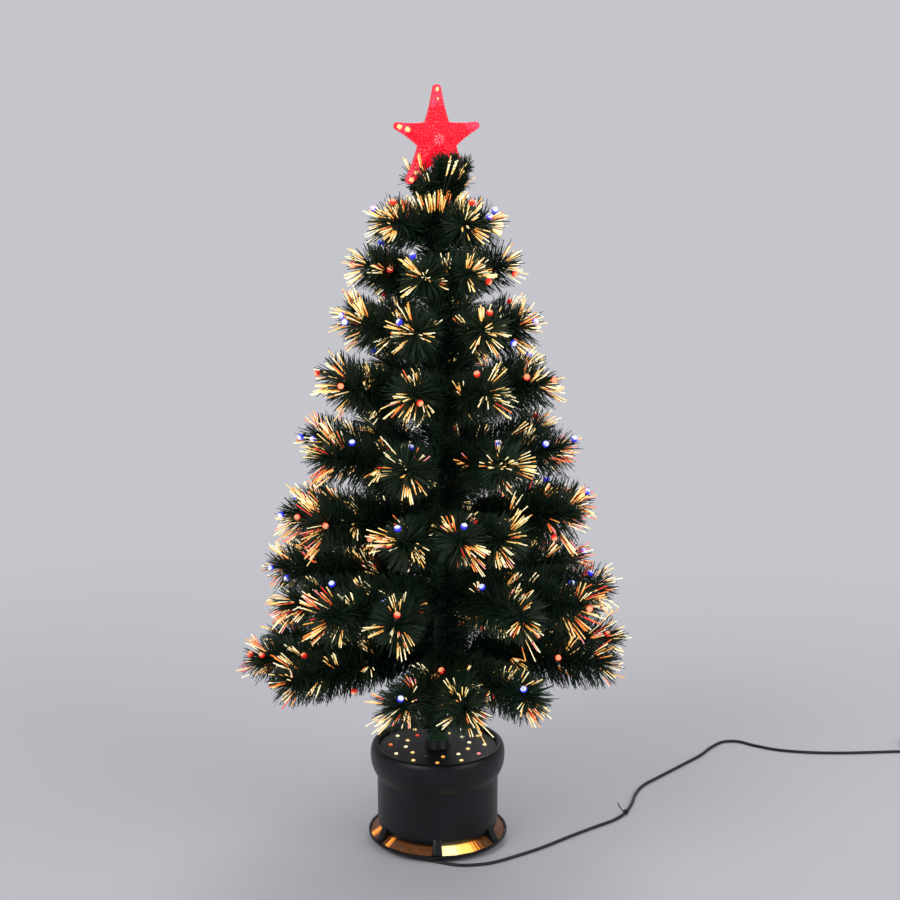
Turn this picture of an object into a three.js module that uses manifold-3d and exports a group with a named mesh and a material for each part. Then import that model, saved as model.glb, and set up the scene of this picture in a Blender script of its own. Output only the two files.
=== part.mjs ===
// Fibre optic christmas tree, 1.2 m tall, on a round pot with a lamp and a colour wheel inside.
// Millimetres, +Z up. The origin is on the trunk's axis, at the floor that the feet stand on.

import * as THREE from "three";
import { mergeVertices } from "three/addons/utils/BufferGeometryUtils.js";
import Module from "manifold-3d";

const wasm = await Module();
wasm.setup();

// Overall sizes
const treeHeight = 1200; // floor to the star's top point
const spreadRadius = 320; // trunk axis to the lowest tier's fibre tips
const seatGap = 0.3; // between a piece and what it sits on
const overrun = 6; // how far a cutter reaches past the face that it cuts

// Feet and base plate
const footHeight = 7;
const footRadius = 9;
const footCircle = 88;
const footCount = 4;
const footTurn = 45;
const plateThickness = 3;
const plateRadius = 112.5;
const plateRimHeight = 3;
const plateRimWall = 2.3;
const ventWidth = 5;
const ventLength = 26;
const ventCircle = 40;
const ventCount = 6;

// Translucent ring that shows the light under the pot
const ringHeight = 10;
const ringTopRadius = 94;
const ringWall = 2.6;
const ringFlangeWidth = 8;
const ringRimClearance = 1.6;

// Pot
const potHeight = 162; // floor to the rim's top
const potBodyRadius = 97.5;
const potRimRadius = 108.5;
const potBottomRadius = 90;
const potWall = 2.5;
const potBandHeight = 52;
const potCornerHeight = 17;
const potCornerShares = [0.7, 0.4]; // out and up, where the rounded corner has its one facet edge
const potBulgeShares = [
  [0.12, 0.06],
  [0.55, 0.22],
  [0.9, 0.46],
  [1, 0.68],
  [0.86, 0.87],
  [0.5, 0.98],
]; // out and up, from the band's foot to the rim
const potLegWidth = 14;
const potLegWall = 11;
const potLegCount = 6;
const potLegTurn = 30;
const lidDepth = 7; // rim's top down to the lid's top

// Lid with its vent holes and the trunk's socket
const lidThickness = 3;
const lidEdgeGap = 0.6;
const lidLedge = 5;
const holeRadius = 2.6;
const holesPerRing = 12;
const holeRings = [
  { circle: 76, turn: 0 },
  { circle: 52, turn: 10 },
];
const socketWall = 4;
const socketRise = 13;
const socketFootRise = 27.8; // trunk's foot up to the socket's foot

// Lamp, colour wheel and motor
const sheetThickness = 1.5;
const bracketWidth = 34;
const lampShelfHeight = 27;
const motorShelfHeight = 56;
const holderRadius = 9;
const holderHeight = 18;
const lampRadius = 17.5;
const lampLength = 33;
const lampShapeShares = [
  [0.6, 0.34],
  [0.92, 0.68],
  [1, 0.88],
]; // of the lamp's radius and of its length
const lampNeckShare = 0.2;
const motorRadius = 18.5;
const motorHeight = 15;
const shaftRadius = 2.5;
const shaftLength = 13;
const wheelRadius = 53;
const wheelThickness = 1.6;
const wheelOffset = 38; // wheel axis to lamp axis
const hubRadius = 7;
const hubHeight = 8;
const beamGap = 4; // between the lamp, the wheel and the fibres' polished end

// Trunk with a clevis for each branch
const trunkRadius = 13;
const trunkWall = 1.2;
const ferruleLength = 30;
const stopFlangeWidth = 6;
const stopFlangeHeight = 4;
const clevisHeight = 14;
const clevisReach = 13.5; // trunk surface to the clevis's edge
const pinOffset = 7.5; // trunk surface to the hinge pin
const trunkTopMargin = 20;
const bundleGap = 0.8;

// Tinsel round the foot of the trunk
const wrapRadius = 48;
const wrapTopMargin = 12;
const wrapPoints = 7;
const wrapPlaceShares = [0.04, 0.25, 0.55, 0.88];
const wrapWidthShares = [0.45, 0.75, 1, 0.85];

// Hinged branches, from the lowest tier to the highest
const lowestHub = 304;
const crownRise = 226; // highest hub up to the star's top point
const tierHeightShares = [0, 0.164, 0.322, 0.473, 0.617, 0.753, 0.881, 1];
const tierRadiusShares = [1, 0.97, 0.81, 0.76, 0.65, 0.56, 0.465, 0.362];
const tierTiltAngles = [3, 6, 10, 13, 17, 20, 23, 26];
const tierBranchCounts = [4, 4, 4, 4, 4, 4, 3, 3];
const tierLimbCounts = [3, 3, 3, 2, 2, 2, 2, 2];
const tierTurn = 45; // degrees from one tier to the next
const firstTurn = 9;
const foldedTilt = 48; // every branch's tilt when the tree is folded up
const pinRadius = 2;
const pinLength = 16;
const stemRadius = 3;
const brushShare = 0.53; // needles' radius at most, of the spacing between folded tiers
const brushLimbShare = 0.35; // and of the spacing between the tips of a branch's limbs
const forkShare = 0.16; // of a branch's reach
const sideLimbShare = 0.97; // of the middle limb's reach
const limbAngles = { 2: [-30, 30], 3: [-30, 0, 30] };

// Needle brush: its rings, along a limb's reach, and the splayed fibre tips past the last ring
const brushPlaceShares = [0.12, 0.5, 0.78];
const brushWidthShares = [0.34, 0.88, 0.82];
const brushValleyShare = 0.5;
const brushHeartShare = 0.8;
const fibreSpreadShare = 0.93; // of the needles' radius
const brushPoints = 4;
const brushTurn = 45; // degrees that each ring is turned against the last

// Crown
const leaderRadius = 4;
const crownBrushRadius = 25;
const crownBrushLength = 62;
const crownLimbCount = 4;
const crownTurn = 65;
const crownTilt = 52;
const crownRadius = 52;
const crownLimbBrushRadius = 15;
const crownLimbRise = 30; // trunk's top to where the crown's limbs start
const crownPoints = 5;
const crownPlaceShares = [0.06, 0.45, 0.8];
const crownWidthShares = [0.34, 0.9, 0.8];
const crownPlugRise = 4; // past the trunk's top

// Star
const starRadius = 81;
const starNotchRadius = 34.5;
const starTipRadius = 6.5;
const starEdgeDepth = 5;
const starDepth = 14;
const starWall = 2;
const starTurn = 20; // degrees, the left arm comes forward
const starArmShares = [1, 0.9, 1, 1, 0.9]; // of the star's radius, from the upright arm round
const starPoints = starArmShares.length;
const starTipSpread = 65; // degrees to each side that a tip's rounding covers
const bossRadius = 8;
const bossRise = 2.5;
const bossRings = 6;
const starSocketWall = 1.8;
const starSocketLength = 42;
const starSeatDrop = 14; // star's centre down to the socket's top
const starLampRadius = 3;
const starLampLength = 11;

// Power lead, its coil and its adapter
const cordRadius = 2.5;
const glandRadius = 3.3;
const glandLength = 22;
const coilInnerRadius = 19.6;
const coilPitch = 6.2; // between turns that lie beside or on each other
const coilLayerTurns = 1.75;
const coilClimbTurns = 0.5;
const coilTail = 26;
const floorGap = 0.1;
const tailBendShare = 0.25; // of the tail, where it is straight again
const innerLeadRadius = 1.6;
const innerLeadPoints = [
  [-46, -72],
  [-34, -60],
  [-14, -42],
  [-2, -30],
  [0, -20],
];
const adapterLength = 62;
const adapterWidth = 42;
const adapterHeight = 30;
const adapterCorner = 5;
const adapterNoseRadius = 4.5;
const adapterNoseLength = 12;
const bladeLength = 17;
const bladeWidth = 6.3;
const bladeThickness = 1.5;
const bladeSpacing = 12.7;

// Facets
const potSides = 24;
const wheelSides = 16;
const roundSides = 12;
const smallSides = 10;
const leadSides = 6;
const coilSides = 6;
const stemSides = 6;
const holeSides = 5;
const pinSides = 4;
const leadSteps = 74;
const innerLeadSteps = 9;
const stepsPerTurn = 24;

// Heights and sizes that follow from the ones above
const plateTop = footHeight + plateThickness;
const ringFoot = plateTop + seatGap;
const ringTop = ringFoot + ringHeight;
const potFoot = ringTop + seatGap;
const lidTop = potHeight - lidDepth;
const lidFoot = lidTop - lidThickness;
const potInnerRadius = potBodyRadius - potWall;
const lidRadius = potInnerRadius - lidEdgeGap;
const lampFoot = lampShelfHeight + holderHeight + 2 * seatGap;
const lampTop = lampFoot + lampLength;
const wheelFoot = lampTop + beamGap;
const wheelTop = wheelFoot + wheelThickness;
const trunkFoot = wheelTop + beamGap;
const socketTop = lidTop + socketRise;
const flangeFoot = socketTop + seatGap;
const highestHub = treeHeight - crownRise;
const trunkTop = highestHub + trunkTopMargin;
const trunkInnerRadius = trunkRadius - trunkWall;
const pinCircle = trunkRadius + pinOffset;
const starCentre = treeHeight - starRadius;
const starSocketTop = starCentre - starSeatDrop;
const leaderTop = starSocketTop - starSocketWall - seatGap;
const starSocketRadius = leaderRadius + seatGap + starSocketWall;

const rad = THREE.MathUtils.degToRad;

// Materials
function finish(colour, roughness, metalness = 0) {
  return new THREE.MeshStandardMaterial({ color: colour, roughness, metalness });
}
const blackPlastic = finish(0x0d0e12, 0.35);
const amberPlastic = finish(0xe08a1e, 0.4);
const rubber = finish(0x151515, 0.9);
const steel = finish(0x9a9da3, 0.4, 0.9);
const ceramic = finish(0xe8e2d4, 0.6);
const glass = finish(0xdfe6ea, 0.1);
const filmPlastic = finish(0xc0392b, 0.3);
const fibrePlastic = finish(0xf3ead0, 0.2);
const greenPaint = finish(0x14301c, 0.6);
const needleGreen = finish(0x0f2616, 0.8);
const redAcrylic = finish(0xd8161c, 0.2);
const leadPlastic = finish(0x0c0c0d, 0.55);
const brass = finish(0xc9a44c, 0.3, 0.9);

// Geometry helpers
function toSolid(geometry) {
  const bare = geometry.clone();
  bare.deleteAttribute("normal");
  bare.deleteAttribute("uv");
  const merged = mergeVertices(bare);
  const corners = [];
  for (let i = 0; i < merged.index.count; i += 3) {
    const [a, b, c] = [0, 1, 2].map((k) => merged.index.getX(i + k));
    if (a !== b && b !== c && c !== a) {
      corners.push(a, b, c);
    }
  }
  const vertProperties = Float32Array.from(merged.attributes.position.array);
  const triVerts = Uint32Array.from(corners);
  return new wasm.Manifold(new wasm.Mesh({ numProp: 3, vertProperties, triVerts }));
}

function toGeometry(solid) {
  const mesh = solid.getMesh();
  const geometry = new THREE.BufferGeometry();
  geometry.setAttribute("position", new THREE.BufferAttribute(mesh.vertProperties, 3));
  geometry.setIndex(new THREE.BufferAttribute(mesh.triVerts, 1));
  geometry.computeVertexNormals();
  return geometry;
}

function joined(geometries) {
  return geometries.map(toSolid).reduce((whole, piece) => whole.add(piece));
}

function cutBy(solid, geometries) {
  return geometries.map(toSolid).reduce((whole, cutter) => whole.subtract(cutter), solid);
}

// A turned piece: corners are [radius, height], anticlockwise, and closed or on the axis at both ends.
function turned(corners, sides) {
  const profile = corners.map(([r, z]) => new THREE.Vector2(r, z));
  return new THREE.LatheGeometry(profile, sides).rotateX(Math.PI / 2);
}

function closedRing(corners, sides) {
  return turned([...corners, corners[0]], sides);
}

function cylinder(radius, low, high, sides = smallSides) {
  return turned([[0, low], [radius, low], [radius, high], [0, high]], sides);
}

// A rod along +X from one place on it to another.
function rod(radius, from, to, sides = stemSides) {
  return cylinder(radius, from, to, sides).rotateY(Math.PI / 2);
}

function box(lowX, highX, lowY, highY, lowZ, highZ) {
  const geometry = new THREE.BoxGeometry(highX - lowX, highY - lowY, highZ - lowZ);
  return geometry.translate((lowX + highX) / 2, (lowY + highY) / 2, (lowZ + highZ) / 2);
}

// An outline in X and Z, as thick as width and centred on Y.
function plateOf(outline, width) {
  const shape = new THREE.Shape(outline.map(([x, z]) => new THREE.Vector2(x, z)));
  const geometry = new THREE.ExtrudeGeometry(shape, { depth: width, bevelEnabled: false });
  return geometry.translate(0, 0, -width / 2).rotateX(Math.PI / 2);
}

function around(count, startDegrees, make) {
  return Array.from({ length: count }, (_, k) => make(rad(startDegrees + (360 * k) / count), k));
}

const tree = new THREE.Group();

function add(name, geometry, material, parent = tree) {
  const mesh = new THREE.Mesh(geometry, material);
  mesh.name = name;
  parent.add(mesh);
  return mesh;
}

// Feet, standing on the floor
const footCorners = [
  [0, 0],
  [footRadius - footHeight / 4, 0],
  [footRadius, footHeight / 4],
  [footRadius, footHeight - seatGap],
  [0, footHeight - seatGap],
];
around(footCount, footTurn, (angle, k) => {
  const foot = add(`foot_${k + 1}`, turned(footCorners, smallSides), rubber);
  foot.position.set(footCircle * Math.cos(angle), footCircle * Math.sin(angle), 0);
});

// Base plate with a low rim and vents under the lamp
function basePlate() {
  const rimTop = plateTop + plateRimHeight;
  const plate = turned(
    [
      [0, footHeight],
      [plateRadius - plateThickness, footHeight],
      [plateRadius, plateTop],
      [plateRadius, rimTop],
      [plateRadius - plateRimWall, rimTop],
      [plateRadius - plateRimWall, plateTop],
      [0, plateTop],
    ],
    potSides,
  );
  const vents = around(ventCount, potLegTurn, (angle) =>
    box(
      ventCircle,
      ventCircle + ventLength,
      -ventWidth / 2,
      ventWidth / 2,
      footHeight - overrun,
      plateTop + overrun,
    ).rotateZ(angle),
  );
  return toGeometry(cutBy(toSolid(plate), vents));
}
add("base_plate", basePlate(), blackPlastic);

// Pot legs, which pass outside the ring and stand on the base plate
const ringRimRadius = plateRadius - plateRimWall - ringRimClearance;
const legInner = ringTopRadius + ringWall;
const legShoulder = potFoot + potLegWall;
const legOutline = [
  [legInner, ringFoot],
  [ringRimRadius, ringFoot],
  [ringRimRadius, ringFoot + plateRimHeight],
  [potBodyRadius, legShoulder],
  [potBodyRadius - potLegWall, legShoulder],
  [potBodyRadius - potLegWall, potFoot + seatGap],
  [legInner, potFoot + seatGap],
];

// Translucent ring, notched for the legs
function lightRing() {
  const skirt = closedRing(
    [
      [ringRimRadius - ringWall, ringFoot],
      [ringRimRadius, ringFoot],
      [ringRimRadius, ringFoot + ringWall / 2],
      [ringTopRadius, ringTop],
      [ringTopRadius - ringFlangeWidth, ringTop],
      [ringTopRadius - ringFlangeWidth, ringTop - ringWall],
      [ringTopRadius - ringWall / 2, ringTop - ringWall],
    ],
    potSides,
  );
  const notches = around(potLegCount, potLegTurn, (angle) =>
    box(
      legInner - seatGap,
      plateRadius + overrun,
      -potLegWidth / 2 - seatGap,
      potLegWidth / 2 + seatGap,
      ringFoot - overrun,
      ringTop + overrun,
    ).rotateZ(angle),
  );
  return toGeometry(cutBy(toSolid(skirt), notches));
}
add("light_ring", lightRing(), amberPlastic);

// Pot: straight body, rounded foot and a bulging band under the rim
function potShell() {
  const bandFoot = potHeight - potBandHeight;
  const bulge = potRimRadius - potBodyRadius;
  const corner = potBodyRadius - potBottomRadius;
  const [cornerOut, cornerUp] = potCornerShares;
  const ledgeTop = lidFoot - seatGap;
  const body = closedRing(
    [
      [potInnerRadius - lidLedge, potFoot],
      [potBottomRadius, potFoot],
      [potBottomRadius + corner * cornerOut, potFoot + potCornerHeight * cornerUp],
      [potBodyRadius, potFoot + potCornerHeight],
      [potBodyRadius, bandFoot],
      ...potBulgeShares.map(([out, up]) => [
        potBodyRadius + bulge * out,
        bandFoot + potBandHeight * up,
      ]),
      [potBodyRadius, potHeight],
      [potInnerRadius, potHeight - potWall],
      [potInnerRadius, ledgeTop],
      [potInnerRadius - lidLedge, ledgeTop],
      [potInnerRadius, ledgeTop - lidLedge],
      [potInnerRadius, potFoot + potCornerHeight],
      [potInnerRadius - lidLedge, potFoot + potWall],
    ],
    potSides,
  );
  const legs = around(potLegCount, potLegTurn, (angle) =>
    plateOf(legOutline, potLegWidth).rotateZ(angle),
  );
  return toGeometry(joined([body, ...legs]));
}
add("pot_shell", potShell(), blackPlastic);

// Lid: vent holes in two rings, and the socket that the trunk stands in
function potLid() {
  const bore = trunkRadius + seatGap;
  const bushFoot = trunkFoot + socketFootRise;
  const lid = closedRing(
    [
      [bore, bushFoot],
      [bore + socketWall, bushFoot],
      [bore + socketWall, lidFoot],
      [lidRadius, lidFoot],
      [lidRadius, lidTop],
      [bore + 2 * socketWall, lidTop],
      [bore + socketWall, socketTop],
      [bore, socketTop],
    ],
    potSides,
  );
  const holes = holeRings.flatMap(({ circle, turn }) =>
    around(holesPerRing, turn, (angle) =>
      cylinder(holeRadius, lidFoot - overrun, lidTop + overrun, holeSides)
        .translate(circle, 0, 0)
        .rotateZ(angle),
    ),
  );
  return toGeometry(cutBy(toSolid(lid), holes));
}
add("pot_lid", potLid(), blackPlastic);

// Bracket: one bent strip with a shelf for the lamp holder and one for the motor
function bracketOutline() {
  const t = sheetThickness;
  const foot = plateTop + seatGap;
  const right = holderRadius + 2 * t;
  const drop = -holderRadius - 3 * t;
  const back = -wheelOffset - motorRadius - 2 * t;
  const front = -wheelOffset + motorRadius;
  return [
    [right, lampShelfHeight - t],
    [right, lampShelfHeight],
    [drop - t, lampShelfHeight],
    [drop - t, foot + t],
    [back + t, foot + t],
    [back + t, motorShelfHeight - t],
    [front, motorShelfHeight - t],
    [front, motorShelfHeight],
    [back, motorShelfHeight],
    [back, foot],
    [drop, foot],
    [drop, lampShelfHeight - t],
  ];
}
add("lamp_bracket", plateOf(bracketOutline(), bracketWidth), steel);

const holderFoot = lampShelfHeight + seatGap;
add("lamp_holder", cylinder(holderRadius, holderFoot, holderFoot + holderHeight), ceramic);

// Reflector lamp, facing up
const lampCorners = [
  [0, lampFoot],
  [holderRadius / 2, lampFoot],
  [holderRadius / 2, lampFoot + lampLength * lampNeckShare],
  ...lampShapeShares.map(([out, up]) => [lampRadius * out, lampFoot + lampLength * up]),
  [lampRadius, lampTop],
  [0, lampTop],
];
add("halogen_lamp", turned(lampCorners, roundSides), glass);

// Motor with its shaft, and the colour wheel on the shaft
const motorFoot = motorShelfHeight + seatGap;
const motorTop = motorFoot + motorHeight;
const motor = turned(
  [
    [0, motorFoot],
    [motorRadius, motorFoot],
    [motorRadius, motorTop],
    [shaftRadius, motorTop],
    [shaftRadius, motorTop + shaftLength],
    [0, motorTop + shaftLength],
  ],
  roundSides,
);
add("wheel_motor", motor, steel).position.x = -wheelOffset;

const hubTop = motorTop + shaftLength + seatGap + hubHeight / 4;
const wheel = turned(
  [
    [0, motorTop + shaftLength + seatGap],
    [shaftRadius + seatGap, motorTop + shaftLength + seatGap],
    [shaftRadius + seatGap, wheelFoot - hubHeight / 2],
    [hubRadius, wheelFoot - hubHeight / 2],
    [hubRadius, wheelFoot],
    [wheelRadius, wheelFoot],
    [wheelRadius, wheelTop],
    [hubRadius, wheelTop],
    [hubRadius, hubTop],
    [0, hubTop],
  ],
  wheelSides,
);
add("colour_wheel", wheel, filmPlastic).position.x = -wheelOffset;

// Fibres: the polished end in its ferrule, and the bundle that runs up the trunk
const ferruleTop = trunkFoot + ferruleLength;
const ferruleRadius = trunkInnerRadius - seatGap;
const ferrule = cylinder(ferruleRadius, trunkFoot, ferruleTop, roundSides);
add("fibre_ferrule", ferrule, brass);
const plugFoot = trunkTop - trunkTopMargin;
const bundleFoot = ferruleTop + seatGap;
const bundleRadius = trunkInnerRadius - bundleGap;
const bundle = cylinder(bundleRadius, bundleFoot, plugFoot - seatGap, roundSides);
add("fibre_bundle", bundle, fibrePlastic);

// Tiers: hub height, tilt, needle radius, and the lengths of the stem and the limbs
const tiers = tierHeightShares.map((share, t) => {
  const hub = lowestHub + share * (highestHub - lowestHub);
  const others = tierHeightShares.filter((_, k) => Math.abs(k - t) === 1);
  const pitch = Math.min(...others.map((s) => Math.abs(s - share))) * (highestHub - lowestHub);
  const tilt = rad(tierTiltAngles[t]);
  const reach = (tierRadiusShares[t] * spreadRadius - pinCircle) / Math.cos(tilt);
  const limb = reach * (1 - forkShare);
  const [first, second] = limbAngles[tierLimbCounts[t]];
  const tipSpacing = 2 * limb * Math.sin(rad(second - first) / 2);
  const brushRadius = Math.min(
    pitch * Math.cos(rad(foldedTilt)) * brushShare,
    tipSpacing * brushLimbShare,
  );
  return { hub, tilt, brushRadius, limb, fork: reach * forkShare };
});

// Where a branch hangs: its own frame has the pin on Y, the stem along +X
function branchFrame(t, azimuth) {
  const frame = new THREE.Matrix4().makeRotationZ(azimuth);
  frame.multiply(new THREE.Matrix4().makeTranslation(pinCircle, 0, tiers[t].hub));
  return frame.multiply(new THREE.Matrix4().makeRotationY(-tiers[t].tilt));
}

function branchAngles(t) {
  return around(tierBranchCounts[t], firstTurn + tierTurn * t, (angle) => angle);
}

// One clevis on the trunk: two cheeks with a slot for the stem and notches for the pin
function clevis(t, azimuth) {
  const frame = branchFrame(t, azimuth);
  const { hub } = tiers[t];
  const halfPin = pinLength / 2;
  const block = box(
    trunkRadius - trunkWall / 2,
    trunkRadius + clevisReach,
    -halfPin,
    halfPin,
    hub - clevisHeight / 2,
    hub + clevisHeight / 2,
  ).rotateZ(azimuth);
  const room = stemRadius + seatGap;
  const slot = box(-room, clevisReach + overrun, -room, room, -room, clevisHeight + overrun);
  const pinRoom = pinRadius + seatGap;
  const notch = box(
    -pinRoom,
    pinRoom,
    -halfPin - overrun,
    halfPin + overrun,
    -pinRoom,
    clevisHeight + overrun,
  );
  return cutBy(toSolid(block), [slot.applyMatrix4(frame), notch.applyMatrix4(frame)]);
}

// Trunk: tube, stop flange, and a clevis for each branch
function trunkTube() {
  const tube = closedRing(
    [
      [trunkInnerRadius, trunkFoot],
      [trunkRadius, trunkFoot],
      [trunkRadius, flangeFoot],
      [trunkRadius + stopFlangeWidth, flangeFoot],
      [trunkRadius + stopFlangeWidth, flangeFoot + stopFlangeHeight],
      [trunkRadius, flangeFoot + stopFlangeHeight],
      [trunkRadius, trunkTop],
      [trunkInnerRadius, trunkTop],
    ],
    roundSides,
  );
  let trunk = toSolid(tube);
  tiers.forEach((_, t) => {
    branchAngles(t).forEach((azimuth) => {
      trunk = trunk.add(clevis(t, azimuth));
    });
  });
  return toGeometry(trunk);
}
add("trunk_tube", trunkTube(), greenPaint);

// Needle brush along +X: rings of points, each ring turned against the last. It closes on the
// axis at its foot, and at its end either on the axis or in one splayed spike a point.
function brush(length, radius, placeShares, widthShares, points, splayed) {
  const spots = [0, 0, 0];
  const corners = 2 * points;
  const last = placeShares.length - 1;
  const ringAngle = (ring, k) => (2 * Math.PI * k) / corners + rad(brushTurn * ring);
  const place = (along, out, angle) => {
    spots.push(along, out * Math.cos(angle), out * Math.sin(angle));
  };
  placeShares.forEach((share, ring) => {
    for (let k = 0; k < corners; k += 1) {
      const out = radius * widthShares[ring] * (k % 2 ? brushValleyShare : 1);
      place(length * share, out, ringAngle(ring, k));
    }
  });
  place(length * (splayed ? brushHeartShare : 1), 0, 0);
  const heart = spots.length / 3 - 1;
  const faces = [];
  for (let k = 0; k < corners; k += 1) {
    const next = (k + 1) % corners;
    faces.push(0, 1 + next, 1 + k);
    for (let ring = 0; ring < last; ring += 1) {
      const low = 1 + ring * corners;
      const high = low + corners;
      faces.push(low + k, low + next, high + next, low + k, high + next, high + k);
    }
    const rim = 1 + last * corners;
    if (!splayed) {
      faces.push(heart, rim + k, rim + next);
    } else if (k % 2 === 0) {
      place(length, radius * fibreSpreadShare, ringAngle(last, k));
      const tip = spots.length / 3 - 1;
      const before = rim + ((k + corners - 1) % corners);
      faces.push(before, rim + k, tip, rim + k, rim + next, tip);
      faces.push(rim + next, heart, tip, heart, before, tip);
    }
  }
  const geometry = new THREE.BufferGeometry();
  geometry.setAttribute("position", new THREE.Float32BufferAttribute(spots, 3));
  geometry.setIndex(faces);
  return geometry;
}

function limb(reach, radius) {
  return brush(reach, radius, brushPlaceShares, brushWidthShares, brushPoints, true);
}

// A branch in its hinge's frame: pin and the stem's eye on Y, stem along +X, limbs from the fork
function branch(t) {
  const { fork, limb: limbReach, brushRadius } = tiers[t];
  const pieces = [
    rod(pinRadius, -pinLength / 2, pinLength / 2, pinSides).rotateZ(Math.PI / 2),
    rod(stemRadius, -stemRadius, stemRadius).rotateZ(Math.PI / 2),
    rod(stemRadius, 0, fork + limbReach * brushPlaceShares[0]),
  ];
  limbAngles[tierLimbCounts[t]].forEach((angle) => {
    const reach = angle === 0 ? limbReach : limbReach * sideLimbShare;
    pieces.push(limb(reach, brushRadius).rotateZ(rad(angle)).translate(fork, 0, 0));
  });
  return toGeometry(joined(pieces));
}

tiers.forEach((tier, t) => {
  const geometry = branch(t);
  branchAngles(t).forEach((azimuth, k) => {
    const hub = new THREE.Group();
    hub.position.z = tier.hub;
    hub.rotation.z = azimuth;
    const hinge = new THREE.Group();
    hinge.position.x = pinCircle;
    hinge.rotation.y = -tier.tilt;
    hub.add(hinge);
    tree.add(hub);
    add(`tier${t + 1}_branch${k + 1}`, geometry, needleGreen, hinge);
  });
});

// Tinsel round the trunk, between the pot and the lowest tier
function trunkWrap() {
  const foot = flangeFoot + stopFlangeHeight + seatGap;
  const length = lowestHub - clevisHeight / 2 - wrapTopMargin - foot;
  const needles = brush(length, wrapRadius, wrapPlaceShares, wrapWidthShares, wrapPoints, false)
    .rotateY(-Math.PI / 2)
    .translate(0, 0, foot);
  const bore = cylinder(trunkRadius + seatGap, foot - overrun, foot + length + overrun, roundSides);
  return toGeometry(cutBy(toSolid(needles), [bore]));
}
add("trunk_wrap", trunkWrap(), needleGreen);

// Crown: plug in the trunk's top, leader, upright brush and four short limbs
function crown() {
  const upright = brush(
    crownBrushLength,
    crownBrushRadius,
    crownPlaceShares,
    crownWidthShares,
    crownPoints,
    false,
  )
    .rotateY(-Math.PI / 2)
    .translate(0, 0, trunkTop + seatGap);
  const limbFoot = trunkTop + crownLimbRise;
  const tilt = rad(crownTilt);
  const limbs = around(crownLimbCount, crownTurn, (azimuth) =>
    limb((crownRadius - leaderRadius) / Math.cos(tilt), crownLimbBrushRadius)
      .rotateY(-tilt)
      .translate(leaderRadius, 0, limbFoot)
      .rotateZ(azimuth),
  );
  const plug = cylinder(ferruleRadius, plugFoot, trunkTop + crownPlugRise, roundSides);
  const leader = cylinder(leaderRadius, trunkTop, leaderTop, leadSides);
  return toGeometry(joined([plug, leader, upright, ...limbs]));
}
add("crown", crown(), needleGreen);

// Star: two hollow half shells round a socket that slides over the leader
function starOutline(radius, notchRadius, tipRadius) {
  const outline = [];
  around(starPoints, 90, (direction, arm) => {
    const centre = new THREE.Vector2(Math.cos(direction), Math.sin(direction));
    centre.multiplyScalar(radius * starArmShares[arm] - tipRadius);
    for (const side of [-starTipSpread, 0, starTipSpread]) {
      const angle = direction + rad(side);
      const arc = new THREE.Vector2(Math.cos(angle), Math.sin(angle)).multiplyScalar(tipRadius);
      outline.push(arc.add(centre));
    }
    const notch = direction + Math.PI / starPoints;
    outline.push(new THREE.Vector2(Math.cos(notch), Math.sin(notch)).multiplyScalar(notchRadius));
  });
  return outline;
}

// A flat back at the given height, an upright edge, and a roof that rises to the middle
function starHalf(outline, back, edge, peak) {
  const spots = [0, 0, back];
  outline.forEach(({ x, y }) => spots.push(x, y, back));
  outline.forEach(({ x, y }) => spots.push(x, y, edge));
  spots.push(0, 0, peak);
  const count = outline.length;
  const top = 2 * count + 1;
  const faces = [];
  for (let k = 0; k < count; k += 1) {
    const next = (k + 1) % count;
    const [a, b] = [1 + k, 1 + next];
    faces.push(0, b, a, a, b, b + count, a, b + count, a + count, top, a + count, b + count);
  }
  const geometry = new THREE.BufferGeometry();
  geometry.setAttribute("position", new THREE.Float32BufferAttribute(spots, 3));
  geometry.setIndex(faces);
  return geometry;
}

function starShell(withBoss) {
  const outline = starOutline(starRadius, starNotchRadius, starTipRadius);
  const halfAngle = Math.PI / starPoints;
  const edgeX = starRadius - starTipRadius - starNotchRadius * Math.cos(halfAngle);
  const edgeY = starNotchRadius * Math.sin(halfAngle) - starTipRadius;
  const notchAngle = halfAngle + Math.atan2(edgeY, edgeX);
  const hollowOutline = starOutline(
    starRadius - starWall,
    starNotchRadius - starWall / Math.sin(notchAngle),
    starTipRadius - starWall,
  );
  const outside = starHalf(outline, seatGap / 2, starEdgeDepth, starDepth);
  const hollow = starHalf(
    hollowOutline,
    -overrun,
    starEdgeDepth - starWall,
    starDepth - starWall,
  );
  const solid = withBoss
    ? joined([
        outside,
        new THREE.SphereGeometry(bossRadius, smallSides, bossRings)
          .rotateX(Math.PI / 2)
          .translate(0, 0, starDepth + bossRise - bossRadius),
      ])
    : toSolid(outside);
  const passage = cylinder(starSocketRadius + seatGap, -starRadius, 0, smallSides).rotateX(
    -Math.PI / 2,
  );
  return toGeometry(cutBy(solid, [hollow, passage]));
}

const star = new THREE.Group();
star.position.z = starCentre;
star.rotation.z = rad(starTurn);
tree.add(star);
add("star_front", starShell(true), redAcrylic, star).rotation.x = Math.PI / 2;
const starBack = add("star_back", starShell(false), redAcrylic, star);
starBack.rotation.set(Math.PI / 2, 0, Math.PI, "ZXY");

const socketFoot = starSocketTop - starSocketLength;
const starSocket = turned(
  [
    [0, leaderTop + seatGap],
    [leaderRadius + seatGap, leaderTop + seatGap],
    [leaderRadius + seatGap, socketFoot],
    [starSocketRadius, socketFoot],
    [starSocketRadius, starSocketTop],
    [0, starSocketTop],
  ],
  smallSides,
);
add("star_socket", starSocket, redAcrylic);
const starLampFoot = starSocketTop + seatGap;
const starLampTop = starLampFoot + starLampLength;
add("star_lamp", cylinder(starLampRadius, starLampFoot, starLampTop, leadSides), glass);

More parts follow.
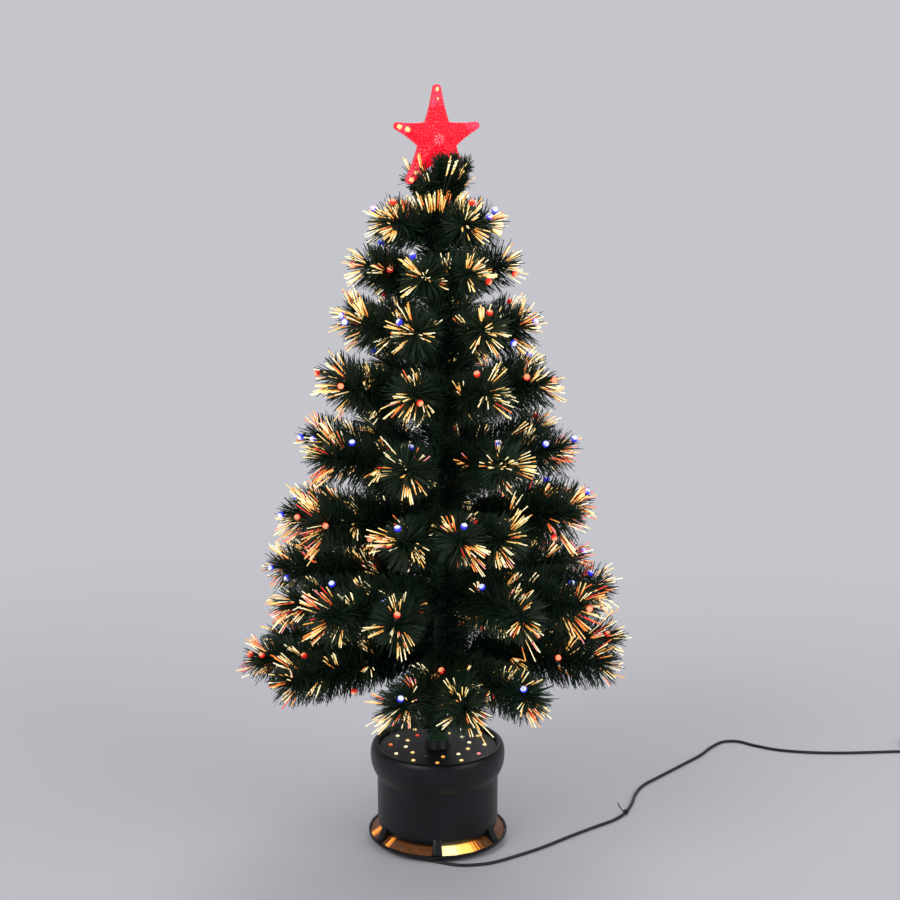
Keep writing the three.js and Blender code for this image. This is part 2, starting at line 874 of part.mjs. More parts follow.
// Power lead: points of its centre line, in x and y, on the floor
const cordStart = [-24, -97];
const cordPoints = [
  [-10, -103],
  [8, -111],
  [24, -117],
  [40, -120],
  [62, -118],
  [86, -111],
  [125, -87],
  [170, -54],
  [217, -13],
  [258, 21],
  [294, 50],
  [315, 78],
  [330, 118],
  [340, 155],
  [356, 190],
  [388, 228],
  [442, 289],
  [476, 328],
  [506, 372],
  [530, 395],
  [556, 396],
  [584, 376],
  [620, 356],
  [670, 344],
  [730, 340],
  [790, 343],
  [845, 347],
];
const coilStart = [888, 347];
const cordHeight = cordRadius + floorGap;
const glandHeight = footHeight - seatGap - glandRadius;
const glandDirection = new THREE.Vector2(cordPoints[0][0], cordPoints[0][1])
  .sub(new THREE.Vector2(...cordStart))
  .normalize();

function cordPath() {
  const [sx, sy] = cordStart;
  const first = new THREE.Vector3(sx, sy, glandHeight);
  const straight = new THREE.Vector3(glandDirection.x, glandDirection.y, 0);
  const places = [
    first.clone().addScaledVector(straight, seatGap),
    first.clone().addScaledVector(straight, 2 * cordRadius),
    ...cordPoints.map(([x, y]) => new THREE.Vector3(x, y, cordHeight)),
    new THREE.Vector3(coilStart[0] - 2 * cordRadius, coilStart[1], cordHeight),
    new THREE.Vector3(coilStart[0] - seatGap, coilStart[1], cordHeight),
  ];
  return new THREE.CatmullRomCurve3(places);
}

function roundSection(radius, sides) {
  const corners = around(sides, 0, (angle) => [radius * Math.cos(angle), radius * Math.sin(angle)]);
  return new THREE.Shape(corners.map(([x, y]) => new THREE.Vector2(x, y)));
}

const cordLine = cordPath();
const cordSection = roundSection(cordRadius, leadSides);
const cordShape = new THREE.ExtrudeGeometry(cordSection, { steps: leadSteps, extrudePath: cordLine });
add("power_cord", cordShape, leadPlastic);

const glandFace = new THREE.Vector3(...cordStart, glandHeight);
const gland = turned(
  [
    [0, -glandLength],
    [glandRadius, -glandLength],
    [glandRadius, -glandLength / 2],
    [cordRadius + seatGap, 0],
    [0, 0],
  ],
  smallSides,
).rotateY(Math.PI / 2);
const glandMesh = add("cord_gland", gland, rubber);
glandMesh.position.copy(glandFace);
glandMesh.rotation.z = Math.atan2(glandDirection.y, glandDirection.x);

// Lead inside the pot, from the base plate to the lamp holder
const innerLow = plateTop + innerLeadRadius + seatGap;
const innerHigh = holderFoot + holderHeight / 2;
const innerHeights = [innerLow, innerLow, innerLow + innerLeadRadius, lampShelfHeight, innerHigh];
const innerPath = new THREE.CatmullRomCurve3([
  ...innerLeadPoints.map(([x, y], k) => new THREE.Vector3(x, y, innerHeights[k])),
  new THREE.Vector3(0, -holderRadius - seatGap, innerHigh),
]);
const innerShape = new THREE.ExtrudeGeometry(roundSection(innerLeadRadius, leadSides), {
  steps: innerLeadSteps,
  extrudePath: innerPath,
});
add("inner_lead", innerShape, leadPlastic);

// Coil: in along the floor, up a layer in half a turn, out again on top, then straight to the adapter
const coilOuterRadius = coilInnerRadius + coilPitch * coilLayerTurns;
const coilTurns = 2 * coilLayerTurns + coilClimbTurns;
function coilPlace(turn) {
  const up = THREE.MathUtils.clamp((turn - coilLayerTurns) / coilClimbTurns, 0, 1);
  const inward = Math.min(turn, coilLayerTurns);
  const outward = Math.max(turn - coilLayerTurns - coilClimbTurns, 0);
  const r = coilOuterRadius - coilPitch * (inward - outward);
  const angle = 2 * Math.PI * turn - Math.PI / 2;
  return new THREE.Vector3(
    coilStart[0] + r * Math.cos(angle),
    coilStart[1] + coilOuterRadius + r * Math.sin(angle),
    cordHeight + coilPitch * up,
  );
}

const coilSteps = Math.round(coilTurns * stepsPerTurn);
const coilLine = Array.from({ length: coilSteps + 1 }, (_, k) => coilPlace(k / stepsPerTurn));
const coilEnd = coilLine[coilSteps].clone();
for (const share of [tailBendShare, 1]) {
  coilLine.push(coilEnd.clone().add(new THREE.Vector3(coilTail * share, 0, 0)));
}

// A round tube whose rings stand upright across the line
function sweep(line, radius, sides) {
  const spots = [];
  line.forEach((place, k) => {
    const ahead = line[Math.min(k + 1, line.length - 1)];
    const behind = line[Math.max(k - 1, 0)];
    const heading = ahead.clone().sub(behind);
    if (k === 0 || k === line.length - 1) {
      heading.set(1, 0, 0);
    }
    const across = heading.clone().cross(new THREE.Vector3(0, 0, 1)).normalize();
    const upright = across.clone().cross(heading).normalize();
    around(sides, 0, (angle) => {
      const spot = place.clone().addScaledVector(across, radius * Math.cos(angle));
      spot.addScaledVector(upright, radius * Math.sin(angle));
      spots.push(spot.x, spot.y, spot.z);
    });
  });
  const faces = [];
  for (let ring = 0; ring < line.length - 1; ring += 1) {
    for (let k = 0; k < sides; k += 1) {
      const a = ring * sides + k;
      const b = ring * sides + ((k + 1) % sides);
      faces.push(a, a + sides, b, b, a + sides, b + sides);
    }
  }
  const end = (line.length - 1) * sides;
  for (let k = 1; k < sides - 1; k += 1) {
    faces.push(0, k, k + 1, end, end + k + 1, end + k);
  }
  const geometry = new THREE.BufferGeometry();
  geometry.setAttribute("position", new THREE.Float32BufferAttribute(spots, 3));
  geometry.setIndex(faces);
  return geometry;
}

// Least gap between stretches of the line that lie more than half a turn apart
function leastGap(line, diameter) {
  let least = Infinity;
  for (let i = 0; i < line.length; i += 1) {
    for (let k = i + stepsPerTurn / 2; k < line.length; k += 1) {
      least = Math.min(least, line[i].distanceTo(line[k]));
    }
  }
  return least - diameter;
}

function lengthOf(line) {
  return line.slice(1).reduce((sum, place, k) => sum + place.distanceTo(line[k]), 0);
}

add("cord_coil", sweep(coilLine, cordRadius, coilSides), leadPlastic);
console.log(`coil gap to itself ${leastGap(coilLine, 2 * cordRadius).toFixed(2)} mm`);
const leadLength = cordLine.getLength() + lengthOf(coilLine);
console.log(`lead length ${leadLength.toFixed(0)} mm`);

// Adapter, lying on its broad face, with its nose towards the coil and its blades up
function adapterBody() {
  const shape = new THREE.Shape();
  const [w, h, c] = [adapterWidth / 2, adapterHeight, adapterCorner];
  shape.moveTo(-w + c, 0);
  shape.lineTo(w - c, 0);
  shape.absarc(w - c, c, c, -Math.PI / 2, 0, false);
  shape.absarc(w - c, h - c, c, 0, Math.PI / 2, false);
  shape.absarc(-w + c, h - c, c, Math.PI / 2, Math.PI, false);
  shape.absarc(-w + c, c, c, Math.PI, Math.PI * 1.5, false);
  const body = new THREE.ExtrudeGeometry(shape, {
    depth: adapterLength,
    bevelEnabled: false,
    curveSegments: 3,
  });
  body.rotateX(Math.PI / 2).rotateZ(Math.PI / 2);
  body.translate(adapterNoseLength, 0, 0);
  const nose = cylinder(adapterNoseRadius, 0, adapterNoseLength + adapterCorner)
    .rotateY(Math.PI / 2)
    .translate(0, 0, coilEnd.z - floorGap);
  return toGeometry(joined([body, nose]));
}
const adapterPlace = new THREE.Vector3(coilEnd.x + coilTail + seatGap, coilEnd.y, floorGap);
add("power_adapter", adapterBody(), leadPlastic).position.copy(adapterPlace);
for (const side of [-1, 1]) {
  const name = side < 0 ? "adapter_blade_right" : "adapter_blade_left";
  const blade = add(name, new THREE.BoxGeometry(bladeWidth, bladeThickness, bladeLength), brass);
  blade.position.set(
    adapterPlace.x + adapterNoseLength + adapterLength / 2,
    adapterPlace.y + (side * bladeSpacing) / 2,
    floorGap + adapterHeight + seatGap + bladeLength / 2,
  );
}

export default tree;
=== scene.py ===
from math import asin, atan2, cos, hypot, pi, radians, sin, tan

import bpy
import numpy as np
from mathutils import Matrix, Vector


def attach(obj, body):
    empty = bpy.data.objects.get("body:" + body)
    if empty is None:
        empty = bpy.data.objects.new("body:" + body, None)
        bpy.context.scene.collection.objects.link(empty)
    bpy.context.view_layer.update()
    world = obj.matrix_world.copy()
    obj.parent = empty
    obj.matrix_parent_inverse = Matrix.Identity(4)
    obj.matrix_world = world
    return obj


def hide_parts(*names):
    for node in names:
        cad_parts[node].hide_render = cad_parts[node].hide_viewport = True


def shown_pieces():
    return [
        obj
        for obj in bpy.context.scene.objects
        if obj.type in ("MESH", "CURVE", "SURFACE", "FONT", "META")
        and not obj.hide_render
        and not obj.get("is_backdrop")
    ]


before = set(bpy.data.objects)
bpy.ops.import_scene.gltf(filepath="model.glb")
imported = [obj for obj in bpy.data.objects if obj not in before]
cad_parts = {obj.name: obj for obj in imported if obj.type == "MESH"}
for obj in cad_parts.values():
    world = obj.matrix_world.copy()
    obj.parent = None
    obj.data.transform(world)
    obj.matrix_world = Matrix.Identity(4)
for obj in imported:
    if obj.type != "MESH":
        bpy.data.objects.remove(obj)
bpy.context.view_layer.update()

millimetre = 0.001
fullTurn = 2 * pi
up = np.array([0.0, 0.0, 1.0])
print("frame loaded:", len(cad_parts), "nodes")


class Form(dict):  # a piece's values, read as form.name
    __getattr__ = dict.__getitem__


# Camera, at the photograph's viewing angle

cameraPlace = Form(
    position=(0.02, -2.6, 1.2), pitchDown=12.1,  # degrees below the horizon
    focalPixels=1707, imagePixels=900, sensor=36,
)


def link(name, data):
    made = bpy.data.objects.new(name, data)
    bpy.context.collection.objects.link(made)
    return made


def makeCamera(place):
    data = bpy.data.cameras.new("camera")
    data.sensor_width = place.sensor
    data.lens = place.focalPixels / place.imagePixels * place.sensor
    camera = link("camera", data)
    camera.location = place.position
    camera.rotation_euler = (radians(90 - place.pitchDown), 0, 0)
    bpy.context.scene.camera = camera


def toPixels(points, place=cameraPlace):  # points in mm, pixels of the square picture
    pitch = radians(place.pitchDown)
    x, y, z = np.moveaxis(points * millimetre - np.array(place.position), -1, 0)
    depth = y * cos(pitch) - z * sin(pitch)
    rise = y * sin(pitch) + z * cos(pitch)
    middle = place.imagePixels / 2
    return middle + place.focalPixels * np.stack([x / depth, -rise / depth], -1)


makeCamera(cameraPlace)


# Materials

def feed(tree, node, sockets):  # each socket gets a value, or a link from another node's output
    for name, value in sockets.items():
        if isinstance(value, bpy.types.NodeSocket):
            tree.links.new(value, node.inputs[name])
        else:
            node.inputs[name].default_value = value
    return node


def addNode(tree, kind, sockets={}, **settings):
    node = tree.nodes.new("ShaderNode" + kind)
    for name, value in settings.items():
        setattr(node, name, value)
    return feed(tree, node, sockets)


def newFinish(name, colours, grain=90, roughness=(0.4, 0.55), bump=0.0, bumpGrain=600, bumpDepth=0.0004,
              bumpKind="TexNoise", perIsland=False, **values):
    # colours run over a noise in object space; values go straight to the shader's sockets
    material = bpy.data.materials.new(name)
    material.use_nodes = True
    tree = material.node_tree
    coords = addNode(tree, "TexCoord").outputs["Object"]
    noise = addNode(tree, "TexNoise", {"Vector": coords, "Scale": grain, "Detail": 3}).outputs["Fac"]
    source = addNode(tree, "NewGeometry").outputs["Random Per Island"] if perIsland else noise
    ramp = addNode(tree, "ValToRGB", {"Fac": source})
    first, last = (0.0, 1.0) if perIsland else (0.3, 0.7)
    stops = ramp.color_ramp.elements
    stops[0].position, stops[1].position = first, last
    for k, colour in enumerate(colours):
        stop = stops[k] if k < 2 else stops.new((first + last) / 2)
        stop.color = (*colour, 1)
    span = addNode(tree, "MapRange", {"Value": noise, "To Min": roughness[0], "To Max": roughness[1]})
    values.update({"Base Color": ramp.outputs["Color"], "Roughness": span.outputs["Result"]})
    if bump:
        texture = addNode(tree, bumpKind, {"Vector": coords, "Scale": bumpGrain, "Detail": 2})
        relief = addNode(tree, "Bump", {"Strength": bump, "Distance": bumpDepth, "Height": texture.outputs[0]})
        values["Normal"] = relief.outputs["Normal"]
    feed(tree, tree.nodes["Principled BSDF"], values)
    return material


def lit(name, colours, glow, strength, **values):
    return newFinish(name, colours, **{"grain": 200, "roughness": (0.2, 0.35), "Emission Color": (*glow, 1),
                                       "Emission Strength": strength, **values})


# Mesh building, all in millimetres until the piece is made

class Mould:
    # gathers vertices and faces of one piece, with a material number for each face
    def __init__(self):
        self.points, self.faces, self.slots, self.count = [], [], [], 0

    def add(self, points, faces, slots=0, caps=(), capSlots=0):
        points = np.asarray(points, float).reshape(-1, 3)
        self.points.append(points)
        for group, kinds in ((faces, slots), (caps, capSlots)):
            if isinstance(group, np.ndarray):
                self.faces += (group + self.count).tolist()
            else:
                self.faces += [[i + self.count for i in face] for face in group]
            self.slots += np.broadcast_to(kinds, len(group)).tolist()
        self.count += len(points)
        return self


def piece(name, mould, materials, body, replaces=(), smooth=True, limit=40):
    mesh = bpy.data.meshes.new(name)
    mesh.from_pydata(np.concatenate(mould.points) * millimetre, [], mould.faces)
    for material in materials:
        mesh.materials.append(material)
    mesh.polygons.foreach_set("material_index", np.array(mould.slots, np.int32))
    mesh.update()
    made = link(name, mesh)
    if smooth:
        mesh.shade_smooth()
        mesh.set_sharp_from_angle(angle=radians(limit))
    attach(made, body)
    if replaces:
        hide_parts(*replaces)
    return made


def unit(vectors):
    return vectors / np.linalg.norm(vectors, axis=-1, keepdims=True)


def polar(angle, reach=1.0):
    return np.stack([np.cos(angle), np.sin(angle)], -1) * reach


def around(count):
    return np.arange(count) * fullTurn / count


def turn(points, azimuth):  # about Z, radians
    c, s = cos(azimuth), sin(azimuth)
    return np.asarray(points, float) @ np.array([[c, s, 0], [-s, c, 0], [0, 0, 1]])


def eased(profile, radius, steps=4):
    # rounds the corners of a closed [radius, height] outline
    corners = np.asarray(profile, float)
    soft = []
    for k, corner in enumerate(corners):
        back, on = corners[k - 1] - corner, corners[(k + 1) % len(corners)] - corner
        reach = min(radius, np.linalg.norm(back) * 0.45, np.linalg.norm(on) * 0.45)
        start, end = corner + unit(back) * reach, corner + unit(on) * reach
        soft += [(1 - t) ** 2 * start + 2 * t * (1 - t) * corner + t * t * end
                 for t in np.linspace(0, 1, steps + 1)]
    return soft


def band(low, high, n):
    # faces between two rings of n points
    k = np.arange(n)
    after = (k + 1) % n
    return np.stack([low + k, low + after, high + after, high + k], 1).tolist()


def swept(rows, n, flip=True):
    # faces over rows of closed sections, with a cap at each end
    faces = [face for row in range(rows - 1) for face in band(row * n, (row + 1) * n, n)]
    faces += [list(range(n))[::-1], [(rows - 1) * n + i for i in range(n)]]
    return [face[::-1] for face in faces] if flip else faces


def holed(n):
    # faces of a plate with a hole: the hole's n points and the rim's, on the lower level and then the upper
    faces = []
    for k in range(n):
        j = (k + 1) % n
        faces += [[j, n + j, n + k, k], [2 * n + k, 3 * n + k, 3 * n + j, 2 * n + j],
                  [n + k, n + j, 3 * n + j, 3 * n + k], [j, k, 2 * n + k, 2 * n + j]]
    return faces


def seenFrom(middle, inside, angles, farthest=80.0, halvings=26):
    # where the rays from a point inside an outline meet it
    spots = []
    for a in angles:
        low, high = 0.0, farthest
        for _ in range(halvings):
            mid = (low + high) / 2
            low, high = (mid, high) if inside(*(middle + polar(a, mid))) else (low, mid)
        spots.append(middle + polar(a, low))
    return spots


def turned(profile, sides=96, closed=True, ripple=None):
    # closed: a ring of its own. Otherwise the outline starts and ends on the axis.
    outline = np.asarray(profile if closed else profile[1:-1], float)
    rings, angles = len(outline), around(sides)
    radius, height = outline[:, :1] * np.ones(sides), outline[:, 1:] * np.ones(sides)
    if ripple:
        radius = ripple(radius, height, angles)
    points = np.dstack([radius * np.cos(angles), radius * np.sin(angles), height]).reshape(-1, 3)
    faces = []
    for ring in range(rings if closed else rings - 1):
        faces += band(ring * sides, (ring + 1) % rings * sides, sides)
    if not closed:
        low, high, top = len(points), len(points) + 1, (rings - 1) * sides
        points = np.vstack([points, [0, 0, profile[0][1]], [0, 0, profile[-1][1]]])
        for k in range(sides):
            after = (k + 1) % sides
            faces += [[low, after, k], [high, top + k, top + after]]
    return points, faces


def lathe(name, profile, sides, finish, body, node, at=(0, 0, 0), ripple=None):
    points, faces = turned(profile, sides, closed=False, ripple=ripple)
    return piece(name, Mould().add(points + at, faces), [finish], body, [node])


def addTubes(mould, paths, radii, sides, slots=0, flat=1.0, lean=None):
    # paths is (tube, step, 3), slots one number or (tube, step - 1), and lean turns each tube's section
    count, steps, _ = paths.shape
    ahead = unit(np.gradient(paths, axis=1))
    if lean is None:
        lean = np.tile([0.3, 0.2, 0.93], (count, 1))
    across = np.cross(ahead, lean[:, None])
    across /= np.linalg.norm(across, axis=2, keepdims=True) + 1e-9
    beside = np.cross(ahead, across)
    angles = around(sides)
    ring = (np.cos(angles)[:, None] * across[:, :, None]
            + flat * np.sin(angles)[:, None] * beside[:, :, None])
    points = paths[:, :, None] + radii[:, :, None, None] * ring
    start = (np.arange(count) * steps * sides)[:, None, None]
    low = start + (np.arange(steps - 1) * sides)[None, :, None]
    k = np.arange(sides)
    after = (k + 1) % sides
    walls = np.stack([low + k, low + after, low + after + sides, low + k + sides], -1)
    caps = np.stack([start[:, 0] + k[::-1], start[:, 0] + (steps - 1) * sides + k], 1)
    slots = np.broadcast_to(slots, (count, steps - 1))
    mould.add(points, walls.reshape(-1, 4), np.repeat(slots.reshape(-1), sides), caps.reshape(-1, sides),
              np.stack([slots[:, 0], slots[:, -1]], 1).reshape(-1))


def addWire(mould, line, radius, sides, slot=0):
    addTubes(mould, line[None], np.full((1, len(line)), radius), sides, slot)


def alongLine(line, shares):
    # places and directions at shares of a line's length
    run = np.concatenate([[0], np.cumsum(np.linalg.norm(np.diff(line, axis=0), axis=1))])
    where, probe = np.asarray(shares) * run[-1], run[-1] * 0.01

    def at(lengths):
        return np.stack([np.interp(lengths, run, line[:, k]) for k in range(3)], -1)

    ahead = at(np.minimum(where + probe, run[-1])) - at(np.maximum(where - probe, 0))
    return at(where), unit(ahead), run[-1]


def crossFrame(ahead):
    # two unit vectors across each direction; the second is the upper one
    side = np.cross(ahead, up)
    short = np.linalg.norm(side, axis=-1, keepdims=True) < 0.05
    side = unit(np.where(short, np.array([1.0, 0.0, 0.0]), side))
    return side, np.cross(side, ahead)


def outwards(ahead, angles):
    # directions across ahead, at angles round it
    side, above = crossFrame(ahead)
    return side * np.cos(angles)[..., None] + above * np.sin(angles)[..., None]


# Power lead, its coil, adapter and ties; the route is that of the solids, in millimetres

leadForm = Form(
    radius=2.5, floorGap=0.1, exit=(-24, -97, 3.4), samplesPerSpan=7,
    route=[(-10, -103), (8, -111), (24, -117), (40, -120), (62, -118), (86, -111), (125, -87), (170, -54),
           (217, -13), (258, 21), (294, 50), (315, 78), (330, 118), (340, 155), (356, 190), (388, 228),
           (442, 289), (476, 328), (506, 372), (530, 395), (556, 396), (584, 376), (620, 356), (670, 344),
           (730, 340), (790, 343), (845, 347)],
    coilStart=(888, 347), coilInnerRadius=19.6, coilPitch=6.2, layerTurns=1.75, climbTurns=0.5,
    stepsPerTurn=24, tail=26,
)


def smoothThrough(places, samples):
    # the same curve through the points that the solid's lead follows
    spots = [np.asarray(p, float) for p in places]
    spots = [2 * spots[0] - spots[1], *spots, 2 * spots[-1] - spots[-2]]
    line = []
    for k in range(1, len(spots) - 2):
        a, b, c, d = spots[k - 1:k + 3]
        ab, bc, cd = (np.linalg.norm(q - p) ** 0.5 for p, q in ((a, b), (b, c), (c, d)))
        t1 = ((b - a) / ab - (c - a) / (ab + bc) + (c - b) / bc) * bc
        t2 = ((c - b) / bc - (d - b) / (bc + cd) + (d - c) / cd) * bc
        for t in np.arange(samples) / samples:
            line.append(b + t1 * t + (3 * (c - b) - 2 * t1 - t2) * t * t + (2 * (b - c) + t1 + t2) * t ** 3)
    return [*line, spots[-2]]


def leadLine(form):
    rest = form.radius + form.floorGap
    first = np.array(form.exit, float)
    ahead = unit(np.array([*form.route[0], form.exit[2]]) - first)
    startX, startY = form.coilStart
    line = smoothThrough([first, first + ahead * 2 * form.radius, *[(*spot, rest) for spot in form.route],
                          (startX - 2 * form.radius, startY, rest), (startX, startY, rest)],
                         form.samplesPerSpan)[:-1]
    outer = form.coilInnerRadius + form.coilPitch * form.layerTurns
    turns = 2 * form.layerTurns + form.climbTurns
    for step in range(round(turns * form.stepsPerTurn) + 1):
        done = step / form.stepsPerTurn
        climb = min(max((done - form.layerTurns) / form.climbTurns, 0), 1)
        outward = max(done - form.layerTurns - form.climbTurns, 0)
        r = outer - form.coilPitch * (min(done, form.layerTurns) - outward)
        a = fullTurn * done - pi / 2
        line.append((startX + r * cos(a), startY + outer + r * sin(a), rest + form.coilPitch * climb))
    line += [(startX + form.tail * share, startY, rest + form.coilPitch) for share in (0.25, 1)]
    return np.array(line)


def makeLead(form, material):
    line = leadLine(form)
    curve = bpy.data.curves.new("powerLead", "CURVE")
    curve.dimensions = "3D"
    curve.bevel_depth = form.radius * millimetre
    curve.bevel_resolution = 5
    curve.use_fill_caps = True
    spline = curve.splines.new("POLY")
    spline.points.add(len(line) - 1)
    spline.points.foreach_set("co", np.column_stack([line * millimetre, np.ones(len(line))]).ravel())
    spline.use_smooth = True
    curve.materials.append(material)
    made = link("powerLead", curve)
    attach(made, "base")
    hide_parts("power_cord", "cord_coil")
    return made, line


leadPlastic = newFinish("leadPlastic", [(0.010, 0.010, 0.012), (0.022, 0.022, 0.025)], grain=140,
                        roughness=(0.42, 0.6), bump=0.25, bumpGrain=900)
lead, leadPath = makeLead(leadForm, leadPlastic)

adapterForm = Form(
    length=62, width=42, height=30, corner=5, edge=1.6, gap=0.3, seamAt=0.62, seamDepth=0.5, seamWidth=0.8,
    noseRadius=4.5, noseLength=12, noseRibs=4,
    bladeLength=17, bladeWidth=6.3, bladeThickness=1.5, bladeSpacing=12.7, bladeHole=1.7, bladeHoleAt=0.72,
    bladeTaper=(2.5, 0.45),  # its length, and how much of the half width it takes
)


def roundedSection(width, height, corner, steps=6):
    spots = []
    for cx, cy, first in ((1, 0, -90), (1, 1, 0), (-1, 1, 90), (-1, 0, 180)):
        middle = np.array([cx * (width / 2 - corner), height - corner if cy else corner])
        spots += [middle + polar(a, corner) for a in np.radians(first + np.linspace(0, 90, steps + 1))]
    return np.array(spots)


def bladeShape(form):
    # a flat blade with chamfered end and a round hole, as one closed mesh
    half, top, n = form.bladeWidth / 2, form.bladeLength, 24

    def inside(x, y):
        taper = max(0, 1 - (top - y) / form.bladeTaper[0]) * form.bladeTaper[1]
        return 0 <= y <= top and abs(x) <= half * (1 - taper)

    middle = np.array([0, top * form.bladeHoleAt])
    ring = [middle + polar(a, form.bladeHole) for a in around(n)]
    outline = ring + seenFrom(middle, inside, around(n))
    points = [(x, y, z) for y in (-form.bladeThickness / 2, form.bladeThickness / 2) for x, z in outline]
    return np.array(points), [face[::-1] for face in holed(n)]


def makeAdapter(form, finishes):
    tip = leadPath[-1]
    start, lift = tip[0] + form.gap, form.gap / 3
    section = roundedSection(form.width, form.height, form.corner)
    centre = np.array([0, form.height / 2])
    low, high, edge = form.noseLength, form.noseLength + form.length, form.edge
    ends = [(edge * (1 - cos(t)), edge * (1 - sin(t))) for t in np.linspace(0, pi / 2, 5)]
    seam, half = low + form.length * form.seamAt, form.seamWidth / 2
    stations = [(low + x, inset) for x, inset in ends]  # along the body, with the seam round its middle
    stations += [(seam - half, 0), (seam - half * 0.6, form.seamDepth), (seam + half * 0.6, form.seamDepth),
                 (seam + half, 0)]
    stations += [(high - x, inset) for x, inset in ends[::-1]]
    rings = []
    for x, inset in stations:
        shrink = 1 - 2 * inset / np.array([form.width, form.height])
        rings.append(np.column_stack([np.full(len(section), x), (section - centre) * shrink + centre]))
    mould = Mould().add(np.vstack(rings) + [start, tip[1], lift], swept(len(rings), len(section), flip=False))
    nose = [(0, 0), (form.noseRadius * 0.74, 0)]
    for k in range(form.noseRibs):  # grooves of the strain relief
        t = (k + 0.5) / form.noseRibs * form.noseLength
        swell = form.noseRadius * (0.78 + 0.2 * k / form.noseRibs)
        nose += [(swell, t - 0.9), (swell, t + 0.5), (swell * 0.88, t + 0.8), (swell * 0.88, t + 1.2)]
    nose += [(form.noseRadius, low), (form.noseRadius, low + 2), (0, low + 2)]
    points, faces = turned(nose, 32, closed=False)
    mould.add(points[:, [2, 0, 1]] + [start, tip[1], tip[2]], faces)
    made = [piece("adapterBody", mould, finishes[:1], "base", ["power_adapter"])]
    points, faces = bladeShape(form)
    for side, word in ((-1, "Right"), (1, "Left")):
        middle = [start + low + form.length / 2, tip[1] + side * form.bladeSpacing / 2,
                  lift + form.height + form.gap]
        made.append(piece("adapterBlade" + word, Mould().add(points + middle, faces), finishes[1:], "base",
                          ["adapter_blade_" + word.lower()]))
    return made


bladeBrass = newFinish("bladeBrass", [(0.72, 0.62, 0.36), (0.84, 0.75, 0.5)], grain=300,
                       roughness=(0.18, 0.34), bump=0.1, Metallic=1.0)
adapterPlastic = newFinish("adapterPlastic", [(0.011, 0.011, 0.013), (0.02, 0.02, 0.023)], grain=110,
                           roughness=(0.38, 0.55), bump=0.5, bumpGrain=1500, bumpDepth=0.0002)
adapterPieces = makeAdapter(adapterForm, [adapterPlastic, bladeBrass])

tieForm = Form(
    wire=0.9, loopTurns=2.5, loopLength=7, place=(315, 78),
    tails=(18, 7),  # one end stands up, the other is short
    coilGrip=(9.6, 5.4),  # half width and half height of the loop round the coil's turns
    coilTurns=1.9, coilAzimuth=120, coilSwing=0.05, coilWire=0.85,
)


def makeTies(form, material):
    floor = form.wire + leadForm.floorGap
    at = int(np.linalg.norm(leadPath[:, :2] - np.array(form.place), axis=1).argmin())
    ahead = unit(leadPath[at + 1] - leadPath[at - 1])
    beside = np.cross(up, ahead)
    grip = leadForm.radius + form.wire
    steps = np.linspace(0, 1, 60)
    a = steps * form.loopTurns * fullTurn + 0.6
    loop = (leadPath[at] + beside * np.cos(a)[:, None] * grip + up * (np.sin(a) * grip + 0.9)[:, None]
            + ahead * ((steps - 0.5) * form.loopLength)[:, None])
    loop[:, 2] = np.maximum(loop[:, 2], floor)
    out = np.linspace(0, 1, 8)[1:, None]
    first = (loop[0] + (beside * 0.35 - ahead * 0.3 + up * 0.88) * form.tails[0] * out
             + beside * (2 * np.sin(out * 2.4)))
    last = loop[-1] + (beside * 0.9 - ahead * 0.5) * form.tails[1] * out + up * np.sin(out * 2.4)
    line = np.vstack([first[::-1], loop, last])
    line[:, 2] = np.maximum(line[:, 2], floor)
    # the second tie goes round both layers of the coil, on the side away from the adapter
    layer = leadForm.coilPitch * leadForm.layerTurns
    middle = np.array([leadForm.coilStart[0], leadForm.coilStart[1] + leadForm.coilInnerRadius + layer, 0.0])
    wide, high = form.coilGrip
    a = np.linspace(0, fullTurn * form.coilTurns, 70)
    reach = leadForm.coilInnerRadius + layer / 2 + wide * np.cos(a)
    height = leadForm.radius + leadForm.coilPitch / 2 + 0.6 + high * np.sin(a)
    way = polar(np.linspace(-form.coilSwing, form.coilSwing, 70) + radians(form.coilAzimuth))
    coil = middle + np.column_stack([way * reach[:, None], np.maximum(height, form.wire)])
    made = []
    for name, path, wire in (("leadTie", line, form.wire), ("coilTie", coil, form.wire * form.coilWire)):
        mould = Mould()
        addWire(mould, path, wire, 8)
        made.append(piece(name, mould, [material], "base"))
    return made


tiePlastic = newFinish("tiePlastic", [(0.014, 0.014, 0.016), (0.03, 0.03, 0.033)], roughness=(0.5, 0.7),
                       bump=0.2)
ties = makeTies(tieForm, tiePlastic)


# Pot, lid, light ring, base plate and feet

potForm = Form(
    height=162, rim=108.5, body=97.5, bottom=90, wall=2.5, band=52, corner=17, foot=20.6, lidFoot=152, ledge=5,
    bulge=[(0.1, 0.03), (0.36, 0.1), (0.62, 0.21), (0.84, 0.35), (0.96, 0.5), (1, 0.64), (0.97, 0.76),
           (0.86, 0.87), (0.68, 0.95), (0.44, 0.99), (0.2, 1)],
    legs=6, legTurn=30, legWidth=14, legWall=11, legInner=96.6, legOuter=108.6, legFoot=10.3,
    legEdge=0.8, legEnd=0.93, sides=128,
)


